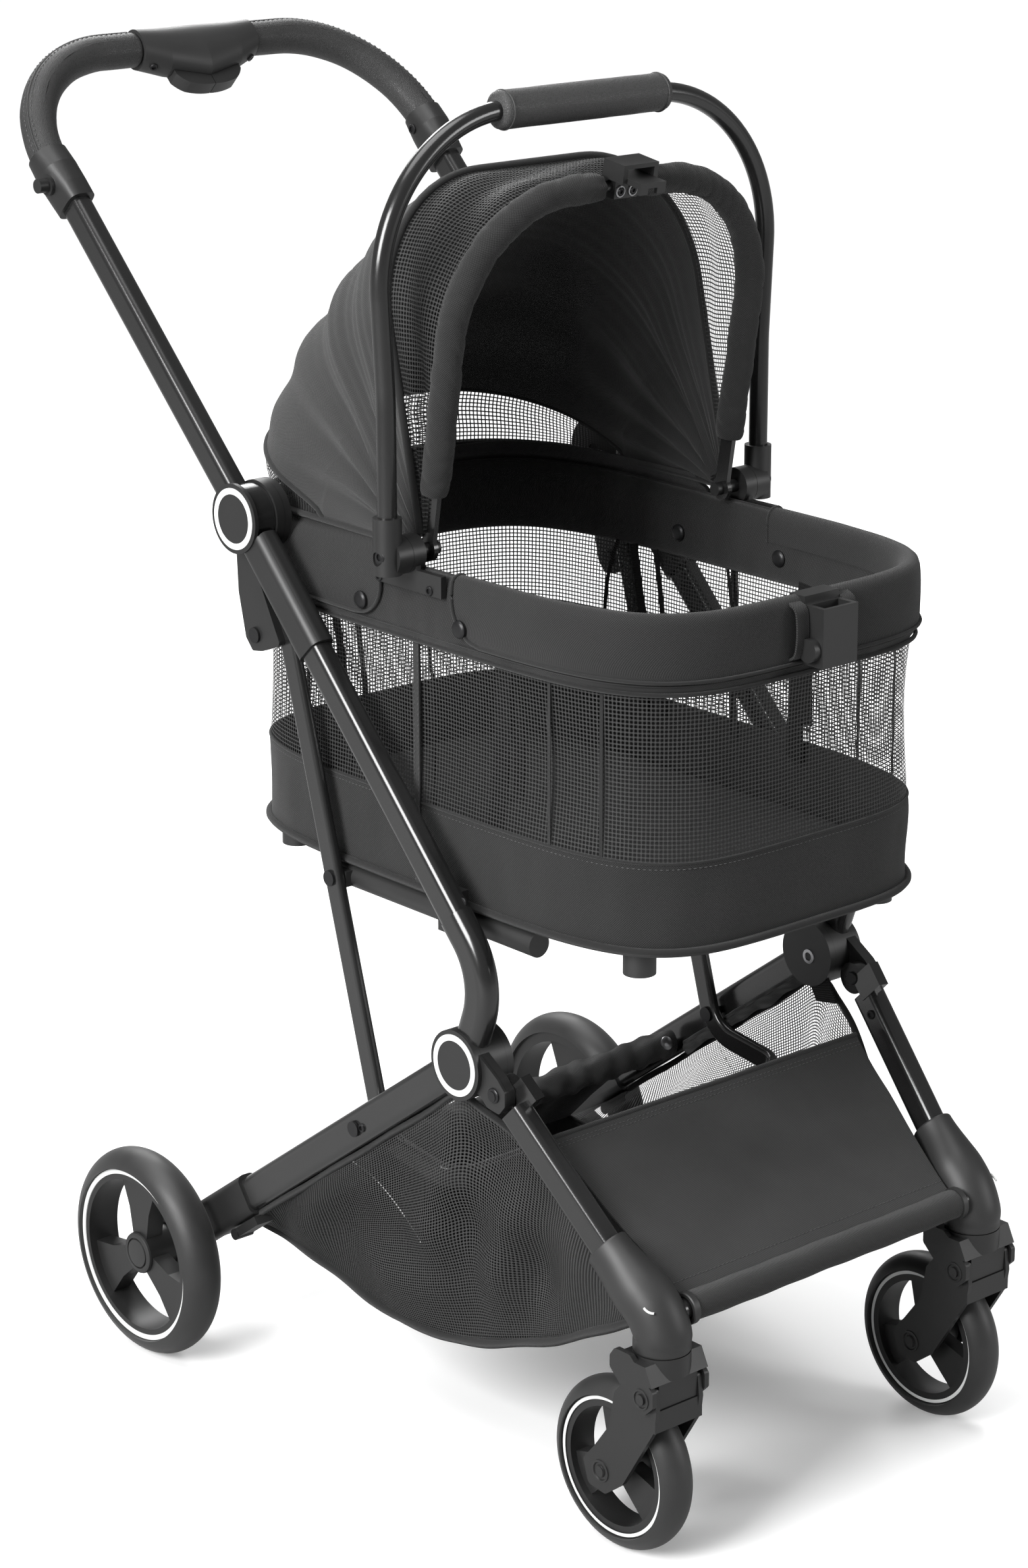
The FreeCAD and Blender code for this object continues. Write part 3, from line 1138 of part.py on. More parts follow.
def canopy_clip():
    """Clip on the bare top of the bow: saddle, plate, raised bridge and two front lips."""
    tilt = size("bow_tilt")
    up, ahead = heading(90 + tilt), heading(180 + tilt)
    top = side_point("0", "pivot_y", "pivot_height") + up * size("bow_reach")
    turn = Rotation(X, -ahead, up, "XYZ")
    wide, long, thick = size("clip_half_width"), size("clip_length"), size("clip_plate")
    rise = size("bow_tube_radius") + 2.5

    def slab(x, ahead_end, low, width, depth, height):
        """Box of the clip placed from its front corner."""
        item = Part.makeBox(width, depth, height)
        item.Placement = Placement(top + X * x + ahead * ahead_end + up * low, turn)
        return item

    tongue, reach = size("tongue_half"), size("tongue_length")
    plate_solid = slab(-wide, long - 2 - reach, rise, 2 * wide, long - reach, thick)
    lips = [slab(-tongue, long - 2, rise, 2 * tongue, reach + 1, thick),
            slab(-tongue, long - 2, rise - 4.5, 8, 3, 5), slab(tongue - 8, long - 2, rise - 4.5, 8, 3, 5)]
    saddle = slab(-11, 7, -8, 22, 14, rise + 8.5)
    lift, deck, leg = size("clip_bridge_rise"), size("clip_bridge_thick"), size("clip_bridge_leg")
    bridge = [slab(-wide, long - 2 - reach, rise + lift - deck, 2 * wide, long - reach, deck)]
    bridge += [slab(x, long - 2 - reach, rise + thick, leg, long - reach, lift - thick)
               for x in (-wide, wide - leg)]
    hole = Part.makeCylinder(size("bow_tube_radius") + 0.02, 60, top - X * 30, X)
    return shaped("clip_shape", plate_solid.multiFuse([*lips, saddle, *bridge]).removeSplitter().cut(hole))


keep(carrier_tray(), "carrier_tray")
keep(carrier_wall(), "carrier_wall")
keep(rim_band(), "rim_band")
keep(rim_hoop(), "rim_hoop")
keep(floor_pad(), "floor_pad")
keep(group("bail_bracket_set", [*bail_bracket("1"), *bail_bracket("-1")]), "bail_brackets")
keep(front_lock(), "front_lock")
keep(cylinder("button", "button_radius", "9.5",
              ("-lock_half_width - 6", "carrier_y - carrier_half_length - band_outset - side_gap - 12",
               "button_height")), "release_button")
keep(canopy_hood(), "canopy_hood")
keep(shaped("bail_shape", round_rod(bail_path(), size("bail_tube_radius"))), "bail_tube")
bail_padding = cut("bail_grip_cut", bail_grip(), cylinder(
    "bail_grip_bore", "bail_tube_radius + 0.2", "400", ("-200", "pivot_y", "bail_top")))
keep(bail_padding, "bail_grip")
keep(group("bail_socket_set", [bail_socket("1"), bail_socket("-1")]), "bail_sockets")
keep(bow_tube(), "canopy_bow")
keep(bow_sleeve(), "bow_sleeve")
keep(canopy_clip(), "canopy_clip")

# ---------------------------------------------------------------- storage basket

def storage_basket():
    """Open-topped fabric sling between the legs."""
    leg_way = (REAR_AXLE - LOWER_HUB).normalize()
    drop = leg_way.cross(X)
    if drop.z > 0:
        drop = -drop
    half, wall = size("basket_half_width"), size("basket_wall")

    def sling(grow, lift):
        """Solid side outline of the sling, grown outwards or lifted at its open top."""
        line = [LOWER_HUB + leg_way * reach + drop * 16 for reach in (30, 262)]
        rear, front = line[1], Vector(0, size("panel_top_y") + 6, size("panel_top_height") - 4)
        low = [Vector(0, 96, 112), Vector(0, 10, 98), Vector(0, -70, 92), Vector(0, -150, 99),
               Vector(0, -215, 116), Vector(0, -285, 147), Vector(0, -322, 176)]
        spots = [front, *reversed(low), rear, line[0]]
        spots = [Vector(-half + (0 if grow else wall), p.y, p.z) for p in spots]
        face = Part.Face(Part.makePolygon([*spots, spots[0]]))
        solid = face.extrude(X * (2 * half - (0 if grow else 2 * wall)))
        return solid if grow else solid.translated(Vector(0, 0, wall + lift))

    outer, inner = sling(True, 0), sling(False, 0)
    raised = [inner.translated(Vector(0, 0, step)) for step in (0, 6)]
    hollow = outer.cut(raised[0]).cut(raised[1])
    room_y, room_z = size("strut_thick / 2 + 1"), size("strut_depth / 2 + 0.6")
    corner = Vector(-half - 10, size("hoop_y") - room_y, size("hoop_height") - room_z)
    room = Part.makeBox(2 * half + 20, 2 * room_y, 2 * room_z, corner)
    return shaped("basket_shape", hollow.cut(room))


keep(storage_basket(), "storage_basket")

# ---------------------------------------------------------------- checks and files

doc.recompute()
for item in doc.Objects:
    if "Invalid" in item.State or "Error" in item.State:
        raise RuntimeError(f"{item.Name} failed: {item.State}")
for item in NODES:
    if item.Shape.isNull() or not item.Shape.isValid() or not item.Shape.Solids:
        raise RuntimeError(f"{item.Label} has no valid solid")
os.makedirs("parts", exist_ok=True)
for item in NODES:
    item.Shape.exportStep(f"parts/{item.Label}.step")
print(f"{len(NODES)} sub-parts written")
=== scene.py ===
"""Looks of the pet stroller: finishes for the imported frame, soft goods and small fittings.

Every length is in metres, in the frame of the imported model: X to the stroller's left,
Y to its back, Z up. Each sub-assembly is a class with its sizes and its build steps.
"""

from __future__ import annotations

import logging
import math
from bisect import bisect
from collections.abc import Callable, Iterable, Sequence
from dataclasses import dataclass, field, replace
from enum import Enum
from functools import cached_property
from typing import ClassVar

import bpy
from mathutils import Matrix, Vector, noise

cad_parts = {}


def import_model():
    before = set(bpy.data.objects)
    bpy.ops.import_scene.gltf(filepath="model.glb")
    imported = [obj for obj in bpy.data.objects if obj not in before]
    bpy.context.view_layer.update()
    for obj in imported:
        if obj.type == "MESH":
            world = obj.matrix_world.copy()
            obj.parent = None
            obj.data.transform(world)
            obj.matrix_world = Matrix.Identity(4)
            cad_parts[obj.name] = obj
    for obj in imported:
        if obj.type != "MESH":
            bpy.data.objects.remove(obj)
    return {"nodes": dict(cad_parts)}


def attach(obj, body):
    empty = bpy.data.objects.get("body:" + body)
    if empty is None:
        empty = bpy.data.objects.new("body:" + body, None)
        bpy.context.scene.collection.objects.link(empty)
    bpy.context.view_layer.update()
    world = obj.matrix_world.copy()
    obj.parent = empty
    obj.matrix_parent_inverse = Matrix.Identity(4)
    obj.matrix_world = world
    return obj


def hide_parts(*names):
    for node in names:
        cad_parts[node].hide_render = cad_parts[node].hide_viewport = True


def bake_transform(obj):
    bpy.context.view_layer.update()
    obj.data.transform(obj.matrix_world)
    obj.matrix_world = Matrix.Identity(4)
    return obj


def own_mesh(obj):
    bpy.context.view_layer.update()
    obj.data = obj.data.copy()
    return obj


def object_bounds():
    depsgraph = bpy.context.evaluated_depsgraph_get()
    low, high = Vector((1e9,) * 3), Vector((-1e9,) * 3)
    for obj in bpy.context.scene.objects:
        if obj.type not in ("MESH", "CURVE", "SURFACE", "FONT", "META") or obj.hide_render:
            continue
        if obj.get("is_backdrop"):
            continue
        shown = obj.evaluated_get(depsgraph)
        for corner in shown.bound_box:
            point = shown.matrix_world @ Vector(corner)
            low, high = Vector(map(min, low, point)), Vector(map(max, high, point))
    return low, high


MM = 0.001
LOG = logging.getLogger("pet_stroller")
UP = Vector((0, 0, 1))
LEAN = Vector((0, 0.02, 1))  # nearly upright, for lines that run straight across
ROUND = 6.28  # about one full turn, in radians, for waves round a tube
BOW_TILT = math.radians(99.5)  # slant of the canopy bow, counted from the back
BOW_UP = Vector((0, math.cos(BOW_TILT), math.sin(BOW_TILT)))
BOW_AHEAD = Vector((0, -BOW_UP.z, BOW_UP.y))
PIVOT = Vector((0, -0.099, 0.698))  # middle of the bow's and the bail's pivot line
Piece = bpy.types.Object
Material = bpy.types.Material
Colour = tuple[float, float, float, float]
Place = Callable[[float, float], Vector]
Spots = Iterable[tuple[Vector, Vector]]
Socket = bpy.types.NodeSocket


class Body(str, Enum):
    """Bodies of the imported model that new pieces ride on."""

    FRAME = "frame"
    PUSH_BAR = "push_bar"
    CARRIER = "carrier"
    CANOPY = "canopy"
    BAIL = "bail"
    FRONT_LEGS = "front_legs"
    CASTER_LEFT = "caster_left"
    CASTER_RIGHT = "caster_right"
    FORK_LEFT = "front_fork_left"
    FORK_RIGHT = "front_fork_right"
    REAR_WHEEL_LEFT = "rear_wheel_left"
    REAR_WHEEL_RIGHT = "rear_wheel_right"


class Slot(str, Enum):
    """Material slots of the record, passed with new pieces but not read."""

    PLASTIC = "black_plastic"
    RIM = "rim_plastic"
    LEATHER = "leatherette"
    SHELL = "shell_cloth"
    NET = "net_cloth"
    PINS = "steel_pins"
    BOLTS = "bolts"


class Side(Enum):
    """Side of the stroller, as the sign of X."""

    LEFT = 1
    RIGHT = -1

    @property
    def label(self) -> str:
        """The side's name, as the pieces' names have it."""
        return self.name.lower()

    def at(self, x: float, y: float, z: float) -> Vector:
        """Point or direction on this side, given as for the left side."""
        return Vector((self.value * x, y, z))


class Held(str, Enum):
    """Ways in which a sheet of cloth is held."""

    STRETCHED = "stretched"
    GATHERED = "gathered"
    HUNG = "hung"


# --- bench tools


def deselect() -> None:
    """Leaves edit mode and drops the selection."""
    if bpy.context.object and bpy.context.object.mode != "OBJECT":
        bpy.ops.object.mode_set(mode="OBJECT")
    bpy.ops.object.select_all(action="DESELECT")


def pick(piece: Piece) -> None:
    """Makes a piece the only one that is selected and active."""
    deselect()
    piece.select_set(True)
    bpy.context.view_layer.objects.active = piece


def fresh(name: str) -> Piece:
    """Names the primitive that was just added, and its mesh.

    Args:
        name: The name for both.

    Returns:
        The primitive.
    """
    piece = bpy.context.object
    piece.name = name
    piece.data.name = name
    return piece


def in_edit(piece: Piece, *steps: Callable[[], object]) -> None:
    """Runs edit-mode steps on the whole of a piece.

    Args:
        piece: The mesh to edit, all of which is selected first.
        steps: Calls to run in order.
    """
    pick(piece)
    bpy.ops.object.mode_set(mode="EDIT")
    bpy.ops.mesh.select_all(action="SELECT")
    for step in steps:
        step()
    bpy.ops.object.mode_set(mode="OBJECT")


def merge(piece: Piece, outwards: bool = True) -> None:
    """Closes the seams of a piece, and turns its faces outwards if asked."""
    turn = [lambda: bpy.ops.mesh.normals_make_consistent(inside=False)] if outwards else []
    in_edit(piece, lambda: bpy.ops.mesh.remove_doubles(threshold=2e-5), *turn)


def finish_with(piece: Piece, kind: str, **settings: object) -> None:
    """Adds a modifier to a piece and applies it.

    Args:
        piece: The mesh to finish.
        kind: The modifier's type, such as SOLIDIFY.
        settings: The modifier's settings.
    """
    pick(piece)
    modifier = piece.modifiers.new(kind.title(), kind)
    for key, value in settings.items():
        setattr(modifier, key, value)
    bpy.ops.object.modifier_apply(modifier=modifier.name)


def subdivide(piece: Piece, levels: int = 1) -> None:
    """Rounds a piece by subdivision."""
    finish_with(piece, "SUBSURF", levels=levels, render_levels=levels)


def thicken(piece: Piece, thickness: float, offset: float = 0.0) -> None:
    """Gives a sheet its thickness."""
    finish_with(piece, "SOLIDIFY", thickness=thickness, offset=offset, use_even_offset=True)


def soften(piece: Piece, degrees: float = 60.0) -> None:
    """Shades a piece smooth, except where its faces meet at a sharp angle."""
    pick(piece)
    bpy.ops.object.shade_smooth_by_angle(angle=math.radians(degrees))


def dress(piece: Piece, material: Material) -> Piece:
    """Puts one material on a whole piece.

    Args:
        piece: The piece.
        material: The material for all its slots.

    Returns:
        The piece.
    """
    if piece.material_slots:
        for slot in piece.material_slots:
            slot.material = material
    else:
        piece.data.materials.append(material)
    return piece


def clad(piece: Piece, look: Material, slot: Slot, body: Body | None = None) -> Piece:
    """Dresses a piece, and attaches it to its body if one is given.

    Args:
        piece: The piece.
        look: Its finish.
        slot: The record's slot of the finish; not used.
        body: The body that it rides on, or None to leave it unattached.

    Returns:
        The piece.
    """
    dress(piece, look)
    if body:
        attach(piece, body.value)
    return piece


def seat(piece: Piece, matrix: Matrix) -> Piece:
    """Moves a piece by a matrix and applies the place to its mesh.

    Args:
        piece: The piece.
        matrix: The move.

    Returns:
        The piece, with its object at the origin.
    """
    piece.matrix_world = matrix @ piece.matrix_world
    pick(piece)
    bpy.ops.object.transform_apply(location=True, rotation=True, scale=True)
    return piece


def facing(centre: Vector, way: Vector) -> Matrix:
    """Matrix that stands a piece built along Z at a centre, along a way."""
    return Matrix.Translation(centre) @ way.to_track_quat("Z", "Y").to_matrix().to_4x4()


def copied(piece: Piece, name: str, matrix: Matrix) -> Piece:
    """Copy of a piece with its own mesh, moved by a matrix."""
    pick(piece)
    bpy.ops.object.duplicate(linked=False)
    return seat(fresh(name), matrix)


def joined(name: str, pieces: Sequence[Piece]) -> Piece:
    """Joins pieces into one mesh.

    Args:
        name: Name of the joined piece.
        pieces: The pieces, which the joined one takes up.

    Returns:
        The joined piece.
    """
    pick(pieces[0])
    for piece in pieces[1:]:
        piece.select_set(True)
    if len(pieces) > 1:
        bpy.ops.object.join()
    return fresh(name)


def copies(name: str, one: Piece, spots: Spots) -> Piece:
    """Copies a piece to each spot and joins the copies.

    Args:
        name: Name of the joined piece.
        one: The piece to copy, built along Z. It is removed.
        spots: Each copy's place and the way it faces.

    Returns:
        The joined piece.
    """
    made = [copied(one, f"{name}_{k}", facing(place, way)) for k, (place, way) in enumerate(spots)]
    bpy.data.objects.remove(one)
    return joined(name, made)


def both(x: float, y: float, z: float, way: int = 1) -> list[tuple[Vector, Vector]]:
    """Spots on both sides of the stroller, facing outwards, or inwards if way is -1."""
    return [(side.at(x, y, z), side.at(way, 0, 0)) for side in Side]


def vectors(*spots: tuple[float, float, float]) -> list[Vector]:
    """Vectors of the given points."""
    return [Vector(spot) for spot in spots]


def traced(place: Callable[[float], Vector], steps: int, closed: bool = False) -> Run:
    """Line through the points that a function gives for even shares from 0 to 1."""
    return Run(tuple(place(k / steps) for k in range(steps + 1)), closed)


def sheet(name: str, columns: int, rows: int, place: Place, cut: tuple[float, float]) -> Piece:
    """Lays a grid of cloth along a surface, with its UV map in metres.

    Args:
        name: The piece's name.
        columns: Faces across.
        rows: Faces along.
        place: Gives the point for each share across and along, from 0 to 1.
        cut: The cloth's width and length, in metres.

    Returns:
        The sheet, one face thick.
    """
    deselect()
    bpy.ops.mesh.primitive_grid_add(x_subdivisions=columns, y_subdivisions=rows, size=1, calc_uvs=True)
    piece = fresh(name)
    for vertex in piece.data.vertices:
        vertex.co = place(vertex.co.x + 0.5, vertex.co.y + 0.5)
    for loop in piece.data.uv_layers.active.data:
        loop.uv = (loop.uv[0] * cut[0], loop.uv[1] * cut[1])
    bpy.ops.object.shade_smooth()
    return piece


def turned(name: str, profile: Sequence[tuple[float, float]], sides: int = 32) -> Piece:
    """Turns a closed solid along Z, as a stack of extruded rings.

    Args:
        name: The piece's name.
        profile: Pairs of height and radius, from the base to the top.
        sides: Faces round the piece.

    Returns:
        The solid, with its base at the first height.
    """
    deselect()
    height, radius = profile[0]
    bpy.ops.mesh.primitive_circle_add(
        vertices=sides, radius=radius, fill_type="NGON", location=(0, 0, height))
    piece = fresh(name)
    bpy.ops.object.mode_set(mode="EDIT")
    bpy.ops.mesh.select_all(action="SELECT")
    for level, wide in profile[1:]:
        bpy.ops.mesh.extrude_region_move(TRANSFORM_OT_translate={"value": (0, 0, level - height)})
        share = wide / radius
        bpy.ops.transform.resize(value=(share, share, 1), center_override=(0, 0, level))
        height, radius = level, wide
    bpy.ops.object.mode_set(mode="OBJECT")
    seat(piece, Matrix.Identity(4))
    merge(piece)
    soften(piece, 35)
    return piece


@dataclass(frozen=True)
class Run:
    """A line through space with even steps along it.

    Attributes:
        points: The line's points.
        closed: True if the line ends where it starts.
    """

    points: tuple[Vector, ...]
    closed: bool = False

    @cached_property
    def marks(self) -> list[float]:
        """Length along the line up to each point."""
        found = [0.0]
        for a, b in zip(self.points, self.points[1:]):
            found.append(found[-1] + (b - a).length)
        return found

    @property
    def length(self) -> float:
        """Length of the line."""
        return self.marks[-1]

    def at(self, share: float) -> Vector:
        """Point at a share of the line's length.

        Args:
            share: The share, from 0 to 1.

        Returns:
            The point.
        """
        goal = max(0.0, min(1.0, share)) * self.length
        index = min(max(bisect(self.marks, goal) - 1, 0), len(self.points) - 2)
        step = self.marks[index + 1] - self.marks[index]
        past = (goal - self.marks[index]) / step if step else 0.0
        return self.points[index].lerp(self.points[index + 1], past)

    def way(self, share: float, reach: float = 0.004) -> Vector:
        """Direction of the line at a share of its length.

        Args:
            share: The share, from 0 to 1.
            reach: Length looked at to each side.

        Returns:
            The direction, of length 1.
        """
        step = reach / max(self.length, 1e-6)
        low, high = share - step, share + step
        if self.closed:
            return (self.at(high % 1.0) - self.at(low % 1.0)).normalized()
        return (self.at(high) - self.at(low)).normalized()


def rounded(corners: Sequence[Vector], radii: Sequence[float], steps: int = 10) -> Run:
    """Line through corners, with an arc at each inner one.

    Args:
        corners: The corner points.
        radii: One bend radius for each inner corner.
        steps: Points on each arc.

    Returns:
        The rounded line.
    """
    points = [corners[0]]
    for before, corner, after, radius in zip(corners, corners[1:], corners[2:], radii):
        back, ahead = (before - corner).normalized(), (after - corner).normalized()
        half = back.angle(ahead) / 2
        trim = radius / math.tan(half)
        centre = corner + (back + ahead).normalized() * (radius / math.sin(half))
        first, last = corner + back * trim - centre, corner + ahead * trim - centre
        turn = first.angle(last)
        for step in range(steps + 1):
            share = step / steps
            arm = (first * math.sin((1 - share) * turn) + last * math.sin(share * turn)) / math.sin(turn)
            points.append(centre + arm)
    points.append(corners[-1])
    return Run(tuple(points))


def curved(points: Sequence[Vector], steps: int = 8, closed: bool = False) -> Run:
    """Smooth line through points.

    Args:
        points: The points that the line passes through.
        steps: Points between each two.
        closed: True to join the last point to the first.

    Returns:
        The smooth line.
    """
    count = len(points)
    spans = count if closed else count - 1
    found = []
    for i in range(spans):
        if closed:
            a, b, c, d = (points[(i + k) % count] for k in (-1, 0, 1, 2))
        else:
            a, b, c, d = (points[min(max(i + k, 0), count - 1)] for k in (-1, 0, 1, 2))
        for step in range(steps):
            t = step / steps
            found.append(0.5 * ((2 * b) + (c - a) * t + (2 * a - 5 * b + 4 * c - d) * t * t
                                + (3 * b - a - 3 * c + d) * t ** 3))
    found.append(points[0].copy() if closed else points[-1].copy())
    return Run(tuple(found), closed)


def sleeve(name: str, run: Run, radius: Callable[[float, float], float], across: Vector,
           rounds: int = 24, steps: int = 60) -> Piece:
    """Wraps a tube of cloth or rubber round a line, with its UV map in metres.

    Args:
        name: The piece's name.
        run: The line at the tube's middle.
        radius: Gives the radius for each share round and along.
        across: A direction that the line never follows, to count the angle from.
        rounds: Faces round the tube.
        steps: Faces along the tube.

    Returns:
        The tube, closed at both ends.
    """
    def place(u: float, v: float) -> Vector:
        """Point of the tube at a share round and along."""
        centre, way = run.at(v), run.way(v)
        side = across.cross(way).normalized()
        rise = way.cross(side).normalized()
        angle = 2 * math.pi * u
        return centre + (side * math.sin(angle) + rise * math.cos(angle)) * radius(u, v)

    around = 2 * math.pi * radius(0, 0.5)
    piece = sheet(name, rounds, steps, place, (around, run.length))
    merge(piece, outwards=False)
    if not run.closed:
        in_edit(piece, lambda: bpy.ops.mesh.select_all(action="DESELECT"),
                lambda: bpy.ops.mesh.select_non_manifold(),
                lambda: bpy.ops.mesh.fill_holes(sides=0))
    merge(piece)
    soften(piece, 50)
    return piece


def ribbon(name: str, run: Run, width: float, out: Callable[[float], Vector], thickness: float,
           steps: int = 40) -> Piece:
    """Lays a flat strap along a line.

    Args:
        name: The piece's name.
        run: The line at the strap's middle.
        width: The strap's width.
        out: Gives the direction that the strap's face looks in, for each share along.
        thickness: The strap's thickness.
        steps: Faces along the strap.

    Returns:
        The strap.
    """
    def place(u: float, v: float) -> Vector:
        """Point of the strap at a share across and along."""
        side = run.way(v).cross(out(v)).normalized()
        return run.at(v) + side * ((u - 0.5) * width)

    piece = sheet(name, 4, steps, place, (width, run.length))
    thicken(piece, thickness)
    soften(piece)
    return piece


def stitches(name: str, run: Run, out: Callable[[float], Vector], length: float = 2.6 * MM,
             gap: float = 1.4 * MM, thick: float = 0.35 * MM) -> Piece:
    """Row of thread stitches along a line.

    Args:
        name: The piece's name.
        run: The line that the thread follows.
        out: Gives the direction away from the cloth, for each share along.
        length: Length of one stitch.
        gap: Cloth left between two stitches.
        thick: Radius of the thread.

    Returns:
        All the stitches as one mesh.
    """
    deselect()
    bpy.ops.mesh.primitive_cylinder_add(vertices=6, radius=1, depth=2, end_fill_type="NGON")
    one = fresh(name + "_one")
    in_edit(one, lambda: bpy.ops.mesh.subdivide(number_cuts=1))
    shape = [v.co.copy() for v in one.data.vertices]
    faces = [tuple(p.vertices) for p in one.data.polygons]
    bpy.data.objects.remove(one)
    count = max(1, int(run.length / (length + gap)))
    points, polygons = [], []
    for i in range(count):
        share = (i + 0.5) / count
        centre, way, up = run.at(share), run.way(share), out(share).normalized()
        side = way.cross(up).normalized()
        start = len(points)
        for co in shape:
            dip = 1 - 0.55 * abs(co.z)
            points.append(centre + way * (co.z * length / 2) + side * (co.x * thick * dip)
                          + up * (thick * (co.y * dip - 0.6 * abs(co.z) + 0.35)))
        polygons += [tuple(start + k for k in face) for face in faces]
    mesh = bpy.data.meshes.new(name)
    mesh.from_pydata(points, [], polygons)
    piece = bpy.data.objects.new(name, mesh)
    bpy.context.scene.collection.objects.link(piece)
    pick(piece)
    bpy.ops.object.shade_smooth()
    return piece


def ripple(point: Vector, scale: float, depth: float, seed: float = 0.0) -> float:
    """Smooth unevenness of cloth at a point, between plus and minus its depth."""
    return depth * noise.noise(Vector((point.x * scale + seed, point.y * scale, point.z * scale - seed)))


# --- finishes


class Nodes:
    """Node tree of one material, with short calls to add and link nodes."""

    def __init__(self, name: str) -> None:
        """Starts an empty material."""
        self.material = bpy.data.materials.new(name)
        self.material.use_nodes = True
        self.tree = self.material.node_tree
        self.tree.nodes.clear()
        self.out = self.tree.nodes.new("ShaderNodeOutputMaterial")
        self.coords = self.tree.nodes.new("ShaderNodeTexCoord")

    def feed(self, socket: Socket, value: object) -> None:
        """Links a socket to another, or sets its value."""
        if isinstance(value, bpy.types.NodeSocket):
            self.tree.links.new(value, socket)
        else:
            socket.default_value = value

    def node(self, kind: str, inputs: dict[str | int, object] | None = None,
             **settings: object) -> bpy.types.Node:
        """Adds a node.

        Args:
            kind: The node's type, without its ShaderNode prefix.
            inputs: Values or sockets for its inputs.
            settings: Its other settings.

        Returns:
            The node.
        """
        item = self.tree.nodes.new("ShaderNode" + kind)
        for key, value in settings.items():
            setattr(item, key, value)
        for key, value in (inputs or {}).items():
            self.feed(item.inputs[key], value)
        return item

    def maths(self, operation: str, *values: object) -> Socket:
        """Result of a math node."""
        item = self.node("Math", dict(enumerate(values)), operation=operation)
        return item.outputs[0]

    def grain(self, scale: float, detail: float) -> Socket:
        """Noise over the piece, with features of about 1/scale metres."""
        source = self.coords.outputs["Object"]
        return self.node("TexNoise", {"Vector": source, "Scale": scale, "Detail": detail}).outputs[0]

    def between(self, factor: Socket, low: float, high: float) -> Socket:
        """Maps a factor of 0 to 1 onto a range."""
        return self.node("MapRange", {"Value": factor, "To Min": low, "To Max": high}).outputs[0]

    def blend(self, factor: object, first: object, second: object) -> Socket:
        """Mixes two colours.

        Args:
            factor: Share of the second colour.
            first: The first colour.
            second: The second colour.

        Returns:
            The mixed colour.
        """
        item = self.node("Mix", data_type="RGBA")
        self.feed(item.inputs[0], factor)
        self.feed(item.inputs[6], first)
        self.feed(item.inputs[7], second)
        return item.outputs[2]

    def bump(self, height: Socket, depth: float, strength: float) -> Socket:
        """Normal raised by a height map, to a depth in metres."""
        return self.node("Bump", {"Height": height, "Distance": depth, "Strength": strength}).outputs[0]

    def surface(self, inputs: dict[str, object]) -> Material:
        """Ends the tree with a Principled shader."""
        shader = self.node("BsdfPrincipled", inputs)
        self.tree.links.new(shader.outputs[0], self.out.inputs["Surface"])
        return self.material


def grey(level: float, warmth: float = 0.0) -> Colour:
    """Near-neutral colour of a given linear level."""
    return (level * (1 + warmth), level, level * (1 - warmth), 1.0)


@dataclass(frozen=True)
class Painted:
    """Powder-coated metal tube with a satin gloss."""

    name: str
    level: float = 0.017
    rough: tuple[float, float] = (0.2, 0.28)
    metal: float = 0.35

    def build(self) -> Material:
        """Makes the material.

        Returns:
            The material.
        """
        bench = Nodes(self.name)
        cloudy = bench.grain(18, 4)
        peel = bench.grain(900, 2)
        base = bench.blend(cloudy, grey(self.level * 0.85), grey(self.level * 1.2))
        return bench.surface({
            "Base Color": base, "Metallic": self.metal,
            "Roughness": bench.between(cloudy, *self.rough),
            "Normal": bench.bump(peel, 0.00004, 0.5), "Coat Weight": 0.5, "Coat Roughness": 0.16})


@dataclass(frozen=True)
class Ring:
    """White trim ring on a part that turns about X.

    Attributes:
        y: The centre's Y.
        z: The centre's Z.
        inner: Smaller radius.
        outer: Larger radius.
        out: Least distance from the middle plane.
        within: Greatest distance from the middle plane.
    """

    y: float
    z: float
    inner: float
    outer: float
    out: float = 0.0
    within: float = 1.0


